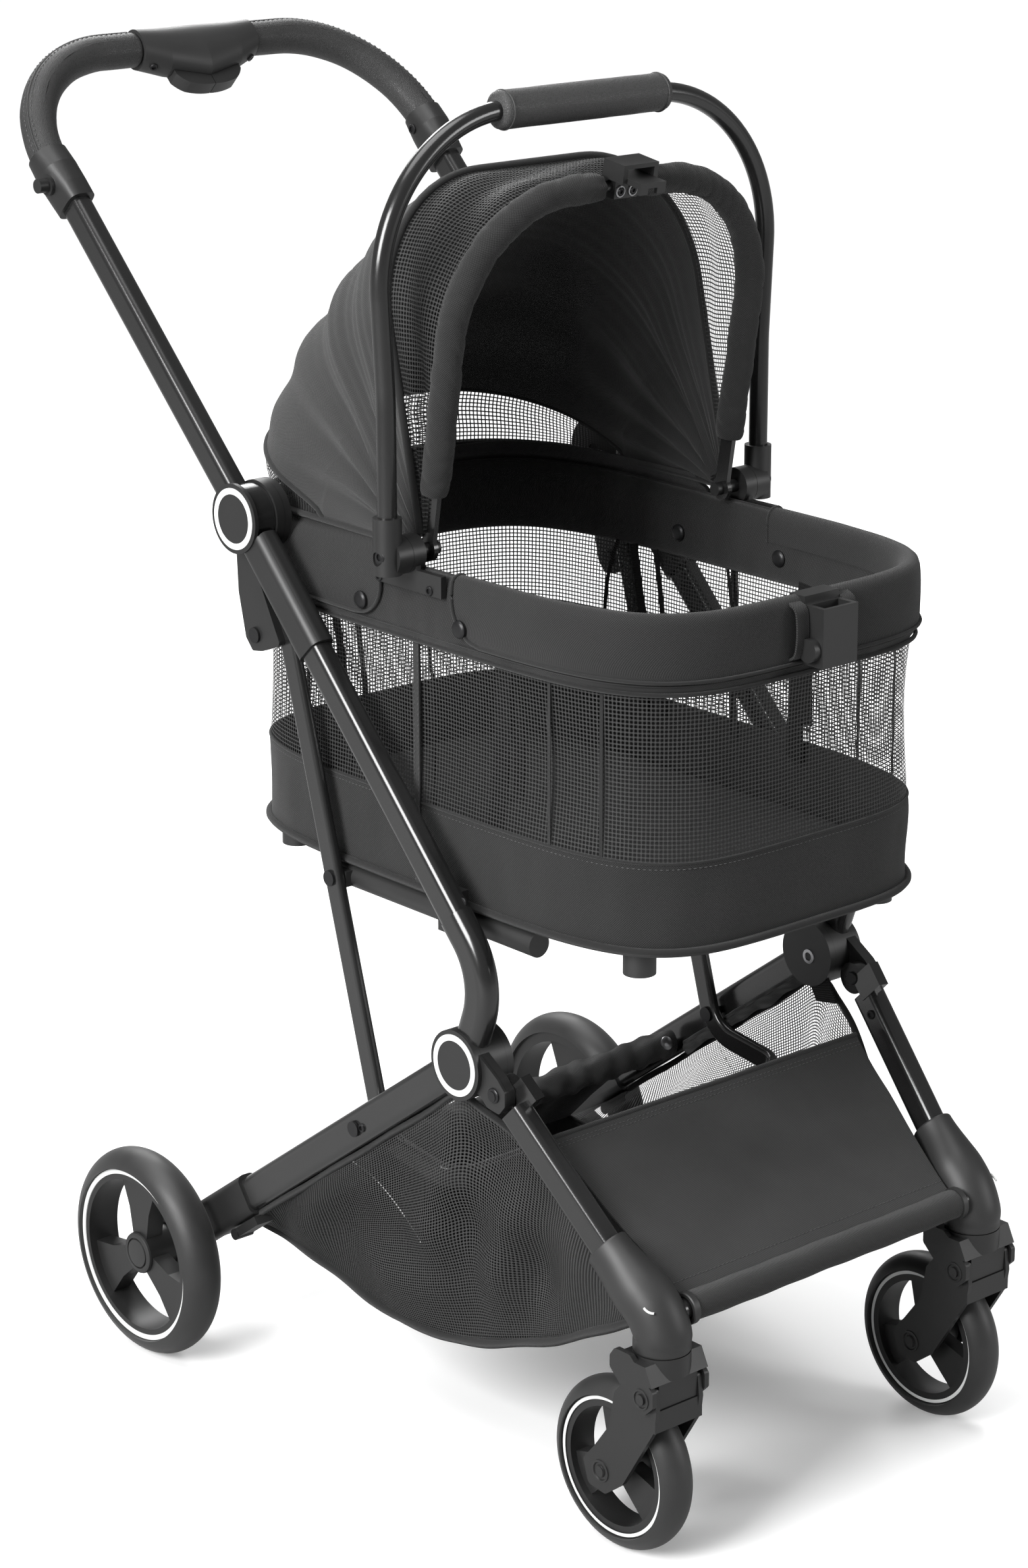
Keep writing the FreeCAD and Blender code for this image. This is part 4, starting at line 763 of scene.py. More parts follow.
@dataclass(frozen=True)
class Moulded:
    """Moulded plastic with fine spark texture, and white trim rings where it has them.

    Attributes:
        name: The material's name.
        level: Linear grey level.
        rough: Least and greatest roughness.
        grain: Scale of the spark texture.
        depth: Depth of the spark texture.
        rings: White rings printed on it.
        lines: Distances from the middle plane of its dark parting lines.
    """

    TRIM: ClassVar[Colour] = (0.72, 0.73, 0.72, 1.0)
    LINE_HALF: ClassVar[float] = 0.0003

    name: str
    level: float = 0.012
    rough: tuple[float, float] = (0.38, 0.5)
    grain: float = 1700
    depth: float = 0.00006
    rings: tuple[Ring, ...] = ()
    lines: tuple[float, ...] = ()

    def build(self) -> Material:
        """Makes the material.

        Returns:
            The material.
        """
        bench = Nodes(self.name)
        spark, cloudy = bench.grain(self.grain, 2), bench.grain(25, 4)
        base = bench.blend(cloudy, grey(self.level * 0.82), grey(self.level * 1.18))
        rough = bench.between(cloudy, *self.rough)
        normal = bench.bump(spark, self.depth, 0.6)
        axes = bench.node("SeparateXYZ", {0: bench.coords.outputs["Object"]}).outputs
        out = bench.maths("ABSOLUTE", axes[0])
        for ring in self.rings:
            up = bench.maths("SUBTRACT", axes[2], ring.z)
            back = bench.maths("SUBTRACT", axes[1], ring.y)
            radius = bench.maths("SQRT", bench.maths(
                "ADD", bench.maths("MULTIPLY", up, up), bench.maths("MULTIPLY", back, back)))
            inside = bench.maths("MULTIPLY", bench.maths("GREATER_THAN", radius, ring.inner),
                                 bench.maths("LESS_THAN", radius, ring.outer))
            inside = bench.maths("MULTIPLY", inside, bench.maths("GREATER_THAN", out, ring.out))
            inside = bench.maths("MULTIPLY", inside, bench.maths("LESS_THAN", out, ring.within))
            base = bench.blend(inside, base, self.TRIM)
        for line in self.lines:
            near = bench.maths("COMPARE", out, line, self.LINE_HALF)
            base = bench.blend(near, base, grey(0.002))
        return bench.surface({"Base Color": base, "Roughness": rough, "Normal": normal})


@dataclass(frozen=True)
class Foam:
    """Closed-cell foam tyre with a dry skin."""

    name: str
    level: float = 0.015

    def build(self) -> Material:
        """Makes the material.

        Returns:
            The material.
        """
        bench = Nodes(self.name)
        pores, scuffs = bench.grain(2600, 3), bench.grain(60, 5)
        base = bench.blend(scuffs, grey(self.level * 0.75), grey(self.level * 1.35))
        return bench.surface({
            "Base Color": base, "Roughness": bench.between(scuffs, 0.4, 0.56),
            "Normal": bench.bump(pores, 0.00008, 0.7), "Sheen Weight": 0.08, "Sheen Roughness": 0.5})


@dataclass(frozen=True)
class Leather:
    """Grained leatherette."""

    name: str
    level: float = 0.02

    def build(self) -> Material:
        """Makes the material.

        Returns:
            The material.
        """
        bench = Nodes(self.name)
        cells = bench.node("TexVoronoi", {"Vector": bench.coords.outputs["Object"], "Scale": 950.0},
                           feature="DISTANCE_TO_EDGE").outputs[0]
        grain = bench.node("MapRange", {"Value": cells, "From Max": 0.25}).outputs[0]
        cloudy = bench.grain(30, 4)
        base = bench.blend(cloudy, grey(self.level * 0.8), grey(self.level * 1.25))
        base = bench.blend(bench.maths("SUBTRACT", 1.0, grain), base, grey(self.level * 0.45))
        return bench.surface({
            "Base Color": base, "Roughness": bench.between(grain, 0.62, 0.44),
            "Normal": bench.bump(grain, 0.00022, 0.8), "Coat Weight": 0.08, "Coat Roughness": 0.4})


class Weave(Enum):
    """Ways in which the solid cloths are woven."""

    TWILL = "twill"
    OXFORD = "oxford"
    WEBBING = "webbing"


@dataclass(frozen=True)
class Cloth:
    """Woven cloth whose threads follow the piece's UV map, in metres."""

    name: str
    weave: Weave = Weave.OXFORD
    level: float = 0.024
    pitch: float = 0.0017
    depth: float = 0.0003
    sheen: float = 0.12

    def build(self) -> Material:
        """Makes the material.

        Returns:
            The material.
        """
        bench = Nodes(self.name)
        axes = bench.node("SeparateXYZ", {0: bench.coords.outputs["UV"]}).outputs
        turn = 2 * math.pi / self.pitch
        across, along = (bench.maths("MULTIPLY", axes[k], turn) for k in (0, 1))
        if self.weave is Weave.TWILL:
            rib = bench.maths("SINE", bench.maths("ADD", across, along))
            thread = bench.maths("SINE", bench.maths("MULTIPLY", along, 2.0))
            height = bench.maths("ADD", rib, bench.maths("MULTIPLY", thread, 0.35))
        elif self.weave is Weave.WEBBING:
            rib = bench.maths("SINE", bench.maths("MULTIPLY", along, 0.8))
            slant = bench.maths("SINE", bench.maths("ADD", across, bench.maths("MULTIPLY", along, 0.5)))
            height = bench.maths("ADD", rib, bench.maths("MULTIPLY", slant, 0.6))
        else:
            height = bench.maths("MULTIPLY", bench.maths("SINE", across), bench.maths("SINE", along))
            height = bench.maths("MULTIPLY", height, 1.3)
        fuzz, cloudy = bench.grain(2400, 2), bench.grain(14, 5)
        height = bench.maths("ADD", height, bench.maths("MULTIPLY", fuzz, 0.8))
        low = bench.node("MapRange", {"Value": height, "From Min": -1.2, "From Max": 1.8}).outputs[0]
        base = bench.blend(low, grey(self.level * 0.3), grey(self.level * 1.75))
        base = bench.blend(bench.maths("MULTIPLY", cloudy, 0.5), base, grey(self.level * 0.6))
        return bench.surface({
            "Base Color": base, "Roughness": bench.between(fuzz, 0.78, 0.94),
            "Normal": bench.bump(height, self.depth, 0.55), "Sheen Weight": self.sheen,
            "Sheen Roughness": 0.45, "Specular IOR Level": 0.15})


@dataclass(frozen=True)
class Netting:
    """Open square net: threads on a grid, with nothing between them."""

    name: str
    level: float = 0.03
    pitch: float = 0.0031
    thread: float = 0.34

    def build(self) -> Material:
        """Makes the material.

        Returns:
            The material.
        """
        bench = Nodes(self.name)
        axes = bench.node("SeparateXYZ", {0: bench.coords.outputs["UV"]}).outputs
        covers = []
        for k in (0, 1):
            cell = bench.maths("FRACT", bench.maths("DIVIDE", axes[k], self.pitch))
            covers.append(bench.maths("ABSOLUTE", bench.maths("SUBTRACT", cell, 0.5)))
        edge = bench.maths("MAXIMUM", covers[0], covers[1])
        open_half = 0.5 - self.thread / 2
        solid = bench.node("MapRange", {"Value": edge, "From Min": open_half - 0.03,
                                        "From Max": open_half + 0.03}).outputs[0]
        # Where the threads cross, the colour is painted lighter: a painted highlight on each crossing.
        crossing_nearness = bench.maths("MINIMUM", covers[0], covers[1])
        painted_crossing_highlight = bench.maths("MULTIPLY", crossing_nearness, 2.0)
        base = bench.blend(painted_crossing_highlight, grey(self.level * 0.7), grey(self.level * 1.5))
        return bench.surface({
            "Base Color": base, "Roughness": 0.6, "Alpha": solid,
            "Normal": bench.bump(edge, 0.0005, 0.6), "Specular IOR Level": 0.2})


@dataclass(frozen=True)
class Plain:
    """Small hard part: thread, white mark, screw or steel pin."""

    name: str
    colour: Colour
    rough: float = 0.5
    metal: float = 0.0

    def build(self) -> Material:
        """Makes the material.

        Returns:
            The material.
        """
        bench = Nodes(self.name)
        cloudy = bench.grain(300, 3)
        dark = tuple(c * 0.7 for c in self.colour[:3]) + (1.0,)
        return bench.surface({
            "Base Color": bench.blend(cloudy, dark, self.colour), "Metallic": self.metal,
            "Roughness": bench.between(cloudy, self.rough * 0.85, min(1.0, self.rough * 1.15)),
            "Normal": bench.bump(cloudy, 0.00005, 0.4)})


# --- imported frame


class Finishes:
    """All the finishes of the stroller, each built once."""

    def __init__(self) -> None:
        """Builds every material."""
        upper = Ring(y=0.067, z=0.698, inner=0.0185, outer=0.0233, out=0.1966)
        lower = replace(upper, y=-0.184, z=0.338)
        rear = Ring(y=0.163, z=0.085, inner=0.0665, outer=0.0705, out=0.2418)
        front = Ring(y=-0.329, z=0.0655, inner=0.0502, outer=0.0527, out=0.1724)
        front_inner = replace(front, out=0.0, within=0.1497)
        self.tube = Painted("satin_dark_tube").build()
        self.plastic = Moulded("moulded_black").build()
        self.soft_plastic = Moulded("moulded_matt", level=0.018, rough=(0.42, 0.56)).build()
        self.hub = Moulded("hub_with_rings", rings=(upper, lower), lines=(0.1905, 0.1685)).build()
        self.rim_rear = Moulded("rear_rim_with_ring", rings=(rear,)).build()
        self.rim_front = Moulded("front_rim_with_ring", rings=(front, front_inner)).build()
        self.tyre = Foam("foam_tyre").build()
        self.leather = Leather("grained_leatherette", level=0.029).build()
        # The bail grip's leatherette is the push grips' leatherette painted lighter: a lit copy, with
        # painted light.
        self.bail_leather = Leather("bail_leatherette", level=0.05).build()
        self.oxford = Cloth("oxford_cloth").build()
        # The hood's cloth is the band's oxford cloth painted lighter: a lit copy, with painted light.
        self.hood = Cloth("painted_light_hood_cloth", level=0.042).build()
        self.twill = Cloth("twill_cloth", Weave.TWILL, level=0.032, pitch=0.0014).build()
        self.lining = Cloth("lining_cloth", level=0.012, sheen=0.04).build()
        self.pad = Cloth("pad_cloth", level=0.02, pitch=0.0014, sheen=0.05).build()
        self.webbing = Cloth("strap_webbing", Weave.WEBBING, level=0.004, pitch=0.0016).build()
        self.piping = Cloth("bias_piping", Weave.TWILL, level=0.022, pitch=0.0009).build()
        self.net = Netting("wall_net").build()
        self.basket_net = Netting("basket_net", pitch=0.0026, thread=0.42, level=0.036).build()
        self.bolt = Plain("blackened_bolt", (0.03, 0.03, 0.031, 1.0), rough=0.38, metal=0.7).build()
        self.pin = Plain("steel_pin", (0.42, 0.42, 0.43, 1.0), rough=0.32, metal=1.0).build()
        self.white = Plain("white_crescent", (0.78, 0.78, 0.77, 1.0), rough=0.45).build()
        self.thread = Plain("sewing_thread", (0.075, 0.075, 0.076, 1.0), rough=0.7).build()
        self.pale_thread = Plain("pale_thread", (0.5, 0.5, 0.5, 1.0), rough=0.7).build()


class PackedFrame:
    """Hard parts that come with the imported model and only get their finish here."""

    TUBES = ("main_tube", "curved_arm", "rear_leg", "front_leg", "push_tube", "strut_hoop",
             "handle_core", "front_cross_bar", "bail_tube", "canopy_bow", "rim_hoop")
    HUBS = ("upper_hub", "lower_hub")
    SOFT = ("handle_panel", "carrier_tray", "carrier_rails")
    STEEL = ("rear_axle",)
    BOLTS = ("frame_bolts",)

    def __init__(self, nodes: dict[str, Piece], finishes: Finishes) -> None:
        """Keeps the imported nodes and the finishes."""
        self.nodes = nodes
        self.finishes = finishes

    def finish_of(self, node: str) -> Material:
        """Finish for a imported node, by the piece it is.

        Args:
            node: The node's name.

        Returns:
            The finish.
        """
        looks = self.finishes
        choices = ((self.TUBES, looks.tube), (self.HUBS, looks.hub), (self.SOFT, looks.soft_plastic),
                   (self.STEEL, looks.pin), (self.BOLTS, looks.bolt), (("rear_rim",), looks.rim_rear),
                   (("front_rim",), looks.rim_front), (("rear_tyre", "front_tyre"), looks.tyre))
        for names, material in choices:
            if node.startswith(names):
                return material
        return looks.plastic

    def dress(self) -> None:
        """Puts the finishes on."""
        for name, node in self.nodes.items():
            dress(node, self.finish_of(name))
        LOG.info("finished %d packed parts", len(self.nodes))


# --- carrier


@dataclass
class Outline:
    """Plan of the carrier: a long rounded rectangle, counted from the middle of its back.

    Attributes:
        half_width: Half the width of the wall.
        half_length: Half the length of the wall.
        middle: Y of its centre.
        power: How square its corners are.
        steps: Steps of the line round it.
        run: The line round it, from the middle of the back.
    """

    half_width: float = 0.158
    half_length: float = 0.2435
    middle: float = -0.1005
    power: float = 4.4
    steps: int = 480
    run: Run = field(init=False)

    def __post_init__(self) -> None:
        """Works out the line round the plan."""
        spots = []
        for step in range(self.steps + 1):
            angle = 2 * math.pi * step / self.steps
            across, along = (math.copysign(abs(part) ** (2 / self.power), part)
                             for part in (math.sin(angle), math.cos(angle)))
            spots.append(Vector((-self.half_width * across, self.middle + self.half_length * along, 0)))
        self.run = Run(tuple(spots), True)

    def out(self, share: float) -> Vector:
        """Outward direction at a share of the way round."""
        way = self.run.way(share % 1.0, 0.006)
        return Vector((way.y, -way.x, 0))

    def at(self, share: float, out: float, z: float) -> Vector:
        """Point at a share of the way round, moved outwards and up."""
        place = self.run.at(share % 1.0) + self.out(share) * out
        return Vector((place.x, place.y, z))

    def line(self, out: float, z: float) -> Run:
        """Line right round the plan at one height."""
        return traced(lambda share: self.at(share, out, z), 300, True)

    def upright(self, share: float, out: float, z: float, rise: float, steps: int) -> Run:
        """Line straight up the wall, or down it where the rise is below zero."""
        return traced(lambda part: self.at(share, out, z + rise * part), steps)

    def share_at(self, x_side: int, y: float) -> float:
        """Share of the way round at a Y, on the side with that sign of X."""
        best = min(range(self.steps + 1), key=lambda k: abs(self.run.points[k].y - y)
                   + (1.0 if self.run.points[k].x * x_side < 0.05 else 0.0))
        return self.run.marks[best] / self.run.marks[-1]


@dataclass
class Carrier:
    """Fabric carrier: wall of solid cloth and net, padded rim band, pad and straps."""

    finishes: Finishes
    outline: Outline = field(default_factory=Outline)
    floor: float = 0.446
    seam: float = 0.510
    band_low: float = 0.632
    band_top: float = 0.687
    pad_low: float = 0.4466
    pad_high: float = 0.4680

    def piping(self, name: str, out: float, z: float, radius: float, rounds: int = 8) -> Piece:
        """Piping right round the plan, at a distance outwards and a height."""
        pipe = sleeve(name, self.outline.line(out, z), lambda u, v: radius, UP, rounds, 300)
        return clad(pipe, self.finishes.piping, Slot.SHELL, Body.CARRIER)

    def wall_lower(self) -> None:
        """Solid cloth of the lower wall, with a hem at its top."""
        length = self.outline.run.length

        def place(u: float, v: float) -> Vector:
            """Point at a share across and along."""
            z = self.floor - 0.001 + (self.seam + 0.001 - self.floor) * v
            point = self.outline.at(u, 0, z)
            dent = ripple(point, 14, 0.0032, 3.0)
            dent += ripple(Vector((point.x, point.y, z * 0.3)), 48, 0.0011, 8.0)
            return self.outline.at(u, 0.0012 + dent * math.sin(math.pi * v) ** 0.7, z)

        wall = sheet("wall_lower_cloth", 300, 14, place, (length, self.seam - self.floor))
        merge(wall, outwards=False)
        thicken(wall, 0.0012, -1)
        soften(wall)
        clad(wall, self.finishes.oxford, Slot.SHELL, Body.CARRIER)
        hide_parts("carrier_wall")
        edge = self.piping("wall_seam_piping", 0.0009, self.seam, 0.0011)
        below = self.outline.line(0.0012, self.seam - 0.004)
        sewn = stitches("wall_seam_stitches", below, self.outline.out)
        clad(sewn, self.finishes.thread, Slot.SHELL, Body.CARRIER)

    def wall_net(self) -> None:
        """Net of the upper wall, a little slack between band and hem."""
        length = self.outline.run.length
        low, high = self.seam - 0.002, self.band_low + 0.004

        def place(u: float, v: float) -> Vector:
            """Point at a share across and along."""
            z = low + (high - low) * v
            point = self.outline.at(u, 0, z)
            slack = math.sin(math.pi * v)
            fold = ripple(Vector((point.x, point.y, z * 0.25)), 22, 0.004, 7.0) * slack
            return self.outline.at(u, 0.0005 - 0.0028 * slack + fold, z)

        net = sheet("wall_net_cloth", 300, 30, place, (length, high - low))
        merge(net, outwards=False)
        soften(net)
        clad(net, self.finishes.net, Slot.NET, Body.CARRIER)

    def rim_band(self) -> None:
        """Padded band round the rim, with its lower piping and top stitching."""
        length = self.outline.run.length
        tall = self.band_top - self.band_low
        middle = self.band_low + tall / 2

        def place(u: float, v: float) -> Vector:
            """Point at a share across and along."""
            angle = 2 * math.pi * v
            sine, cosine = math.sin(angle), math.cos(angle)
            deep = math.copysign(abs(sine) ** 0.62, sine)
            rise = math.copysign(abs(cosine) ** 0.72, cosine)
            spot = self.outline.at(u, 0, middle)
            puff = ripple(spot, 26, 0.0015, 5.0)
            puff += ripple(Vector((spot.x, spot.y, rise * 0.006)), 75, 0.0009)
            half = 0.0066 * (1.0 - 0.18 * max(0.0, -rise) ** 2) + puff
            return self.outline.at(u, -0.0018 + deep * half, middle - rise * tall / 2)

        band = sheet("rim_band_padding", 320, 28, place, (length, 2 * tall + 0.02))
        merge(band)
        soften(band)
        clad(band, self.finishes.oxford, Slot.SHELL, Body.CARRIER)
        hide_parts("rim_band", "rim_hoop")
        self.piping("rim_band_crest_welt", -0.0018, self.band_top + 0.0005, 0.0011)
        self.piping("rim_band_piping", 0.0035, self.band_low + 0.001, 0.0017)
        self.piping("rim_band_upper_welt", 0.0042, self.band_low + 0.0075, 0.0007)

    def floor_pad(self) -> None:
        """Stuffed floor pad, swollen by a cloth run."""
        deselect()
        tall = self.pad_high - self.pad_low
        bpy.ops.mesh.primitive_cylinder_add(
            vertices=120, radius=1, depth=tall - 0.009, end_fill_type="NGON",
            location=(0, 0, self.pad_low + tall / 2))
        pad = seat(fresh("floor_pad_cushion"), Matrix.Identity(4))
        for vertex in pad.data.vertices:
            share = (math.atan2(-vertex.co.x, vertex.co.y) / (2 * math.pi)) % 1.0
            vertex.co = self.outline.at(share, -0.0095, vertex.co.z)
        finish_with(pad, "REMESH", mode="VOXEL", voxel_size=0.006)
        self._swell(pad, 0.0055)
        subdivide(pad)
        for vertex in pad.data.vertices:
            vertex.co.z = min(max(vertex.co.z, self.pad_low), self.pad_high + 0.004)
        soften(pad, 80)
        clad(pad, self.finishes.pad, Slot.SHELL, Body.CARRIER)
        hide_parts("floor_pad")

    @staticmethod
    def _swell(pad: Piece, cap: float, frames: int = 20, pressure: float = 4.0) -> None:
        """Swells a closed mesh like stuffed cloth.

        Args:
            pad: The remeshed piece.
            cap: The furthest that a point may move.
            frames: Length of the cloth run.
            pressure: Pressure inside.
        """
        rest = [v.co.copy() for v in pad.data.vertices]
        pick(pad)
        cloth = pad.modifiers.new("Cloth", "CLOTH")
        cloth.settings.effector_weights.gravity = 0.0
        cloth.settings.use_pressure = True
        cloth.settings.uniform_pressure_force = pressure
        cloth.settings.quality = 5
        scene = bpy.context.scene
        for frame in range(1, frames + 1):
            scene.frame_set(frame)
        bpy.ops.object.modifier_apply(modifier=cloth.name)
        scene.frame_set(1)
        for vertex, start in zip(pad.data.vertices, rest):
            move = vertex.co - start
            if move.length > cap:
                vertex.co = start + move * (cap / move.length)

    def build(self) -> None:
        """Makes every cloth piece of the carrier."""
        self.wall_lower()
        self.wall_net()
        self.piping("base_welt", 0.0028, self.floor - 0.0005, 0.0029, 10)
        self.rim_band()
        self.floor_pad()
        LOG.info("made the carrier")


# --- canopy


@dataclass
class Canopy:
    """Fan-shaped hood on two hoops: net in front, pleated cloth behind, net strip low down."""

    finishes: Finishes
    half: float = 0.151
    foot: float = 0.012
    reach: float = 0.249
    bend: float = 0.100
    front: float = 97.0
    hoop: float = 77.5
    window_top: float = 11.5
    window_low: float = 0.8
    window_half: float = 0.7

    def profile(self, reach: float) -> Run:
        """Line up one side, over the top and down the other, in X and reach."""
        turns = vectors(*((x, 0, z) for x, z in (
            (-self.half, self.foot), (-self.half, reach), (self.half, reach), (self.half, self.foot))))
        return rounded(turns, [self.bend, self.bend], 14)

    @property
    def span(self) -> float:
        """Width of the hood's cloth, from foot to foot."""
        return self.profile(self.reach).length

    def reach_at(self, angle: float) -> float:
        """Reach of the hood's crest from the pivot line at an angle above the back.

        Args:
            angle: Degrees above the back.

        Returns:
            The reach, eased between measured spots.
        """
        spots = [(-20, 0.246), (3, 0.248), (8, 0.254), (16, 0.252), (30, 0.240), (45, 0.236),
                 (60, 0.245), (70, 0.257), (77.5, 0.263), (88, 0.255), (100, 0.249)]
        for (a, low), (b, high) in zip(spots, spots[1:]):
            if angle <= b:
                share = max(0.0, min(1.0, (angle - a) / (b - a)))
                share = share * share * (3 - 2 * share)
                return low + (high - low) * share
        return spots[-1][1]

    def skin(self, u: float, angle: float, out: float = 0.0) -> Vector:
        """Point of the hood.

        Args:
            u: Share from the right foot of the hoop to the left one.
            angle: Degrees above the back, about the pivot line.
            out: Distance outwards from the skin.

        Returns:
            The point.
        """
        flat = self.profile(self.reach_at(angle))
        way = flat.way(u, 0.01)
        spot = flat.at(u) + Vector((-way.z, 0, way.x)) * (self.fold(u, angle) + out)
        turn = math.radians(angle)
        return PIVOT + Vector((spot.x, math.cos(turn) * spot.z, math.sin(turn) * spot.z))

    def fold(self, u: float, angle: float) -> float:
        """Depth of the pleats and soft folds at a place of the hood.

        Args:
            u: Share from the right foot of the hoop to the left one.
            angle: Degrees above the back.

        Returns:
            The depth, below zero where the cloth dips.
        """
        if angle > self.hoop:
            slack = math.sin(math.pi * (angle - self.hoop) / (self.front - self.hoop))
            return 0.0026 * slack * math.sin(30 * u + 0.5 * angle) - 0.002
        edge = self.window_edge(u)
        if angle < edge:
            return 0.0
        share = (angle - edge) / (self.hoop - edge)
        slack = math.sin(math.pi * min(1.0, share * 1.04)) ** 0.6
        side = 0.35 + 0.65 * abs(2 * u - 1) ** 1.5
        drift = 3.0 * noise.noise(Vector((u * 3.1, angle * 0.03, 2.0)))
        tight = 0.0022 * math.sin(angle * 1.9 + drift) * max(0.0, share - 0.35) / 0.65
        broad = 0.0048 * math.sin(angle * 0.42 + drift * 0.8)
        crease = 0.0045 * noise.noise(Vector((u * 8, angle * 0.07, 5.0)))
        return slack * side * (tight + broad) + slack * crease - 0.002 * slack

    def window_edge(self, u: float) -> float:
        """Angle of the upper edge of the low net strip, which tapers to the sides."""
        share = min(1.0, abs(2 * u - 1) / self.window_half)
        return self.window_low + (self.window_top - self.window_low) * math.sqrt(1 - share ** 3)

    def panel(self, name: str, low: Callable[[float], float], high: Callable[[float], float],
              faces: tuple[int, int], look: Material, slot: Slot, thick: float = 0.0,
              reach: tuple[float, float] = (0.0, 1.0)) -> Piece:
        """Sews one panel of the hood between two angles.

        Args:
            name: The panel's name.
            low: Its lower angle at a share across.
            high: Its upper angle at a share across.
            faces: Faces across and along.
            look: Its finish.
            slot: The record's slot of the finish.
            thick: Its thickness, or 0 for net.
            reach: Shares across that it spans.

        Returns:
            The panel.
        """
        def place(u: float, v: float) -> Vector:
            """Point of the panel at a share across and along."""
            across = reach[0] + (reach[1] - reach[0]) * u
            return self.skin(across, low(across) + (high(across) - low(across)) * v)

        length = math.radians(high(0.5) - low(0.5)) * self.reach * 0.9
        panel = sheet(name, *faces, place, (self.span * (reach[1] - reach[0]), length))
        if thick:
            thicken(panel, thick, 0)
        soften(panel)
        clad(panel, look, slot)
        self.follow(panel)
        return panel

    def follow(self, piece: Piece) -> None:
        """Applies a piece's place to its mesh."""
        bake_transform(piece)

    def build(self) -> None:
        """Makes every cloth piece of the canopy."""
        looks = self.finishes
        middle = (0.5 - self.window_half / 2, 0.5 + self.window_half / 2)
        net = self.panel("hood_net_front", lambda u: self.hoop - 0.3, lambda u: self.front + 0.8, (150, 14),
                         looks.net, Slot.NET)
        # The shell takes the lit copy of the oxford cloth, lighter by painted light.
        shell = self.panel("hood_shell_back", self.window_edge, lambda u: self.hoop, (200, 90), looks.hood,
                           Slot.SHELL, 0.0009)
        window = self.panel("hood_net_low", lambda u: self.window_low, lambda u: self.window_edge(u) + 0.4,
                            (80, 8), looks.net, Slot.NET, reach=middle)
        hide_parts("canopy_hood")
        for piece, held in ((net, Held.STRETCHED), (shell, Held.GATHERED), (window, Held.STRETCHED)):
            area = sum(p.area for p in piece.data.polygons) / (2.0 if piece is shell else 1.0)
            round(self.span, 3)
            round(area / self.span, 3)
        for name, angle, radius in (("hood_hoop_binding", lambda u: self.hoop, 0.0030),
                                    ("hood_window_binding", self.window_edge, 0.0020),
                                    ("hood_low_binding", lambda u: self.window_low, 0.0026)):
            line = traced(lambda u, a=angle: self.skin(u, a(u), 0.0008), 120)
            binding = sleeve(name, line, lambda u, v, r=radius: r, Vector((0, 1, 0.01)), 8, 120)
            self.follow(clad(binding, looks.piping, Slot.SHELL))
        self.bow_sleeve()
        LOG.info("made the canopy")

    def bow_sleeve(self) -> None:
        """Padded sleeve on each half of the bow, gathered at the clip and at its seam."""
        reach, half, low = 0.256, 0.146, 0.042
        for side in Side:
            foot = PIVOT + side.at(half, 0, 0)
            top = PIVOT + BOW_UP * reach
            run = rounded([foot + BOW_UP * low, foot + BOW_UP * reach, top + side.at(0.0205, 0, 0)],
                          [self.bend], 20)

            def radius(u: float, v: float, run: Run = run) -> float:
                """Radius of the stuffed sleeve at a share round and along."""
                spot = run.at(v)
                puff = ripple(Vector((spot.x, spot.y + 0.01 * math.sin(ROUND * u), spot.z)), 60, 0.0010)
                crease = math.sin(v * 110 + 4 * math.sin(ROUND * u + 9 * v))
                wrinkle = 0.0009 * max(0.0, crease) ** 3 * (0.35 + 0.65 * math.sin(9 * v + 1.2) ** 2)
                gather = 0.0007 * math.sin(ROUND * 7 * u) * max(0.0, 1 - (1 - v) / 0.08)
                end = min(1.0, v / 0.02, (1 - v) / 0.03)
                return (0.0109 + puff + gather - wrinkle) * (0.86 + 0.14 * math.sqrt(max(0.0, end)))

            piece = sleeve(f"bow_sleeve_{side.label}", run, radius, BOW_AHEAD + BOW_UP * 0.01, 32, 150)
            clad(piece, self.finishes.oxford, Slot.SHELL, Body.CANOPY)
            if side is Side.RIGHT:
                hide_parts("bow_sleeve")


# --- fabric trim on the carrier


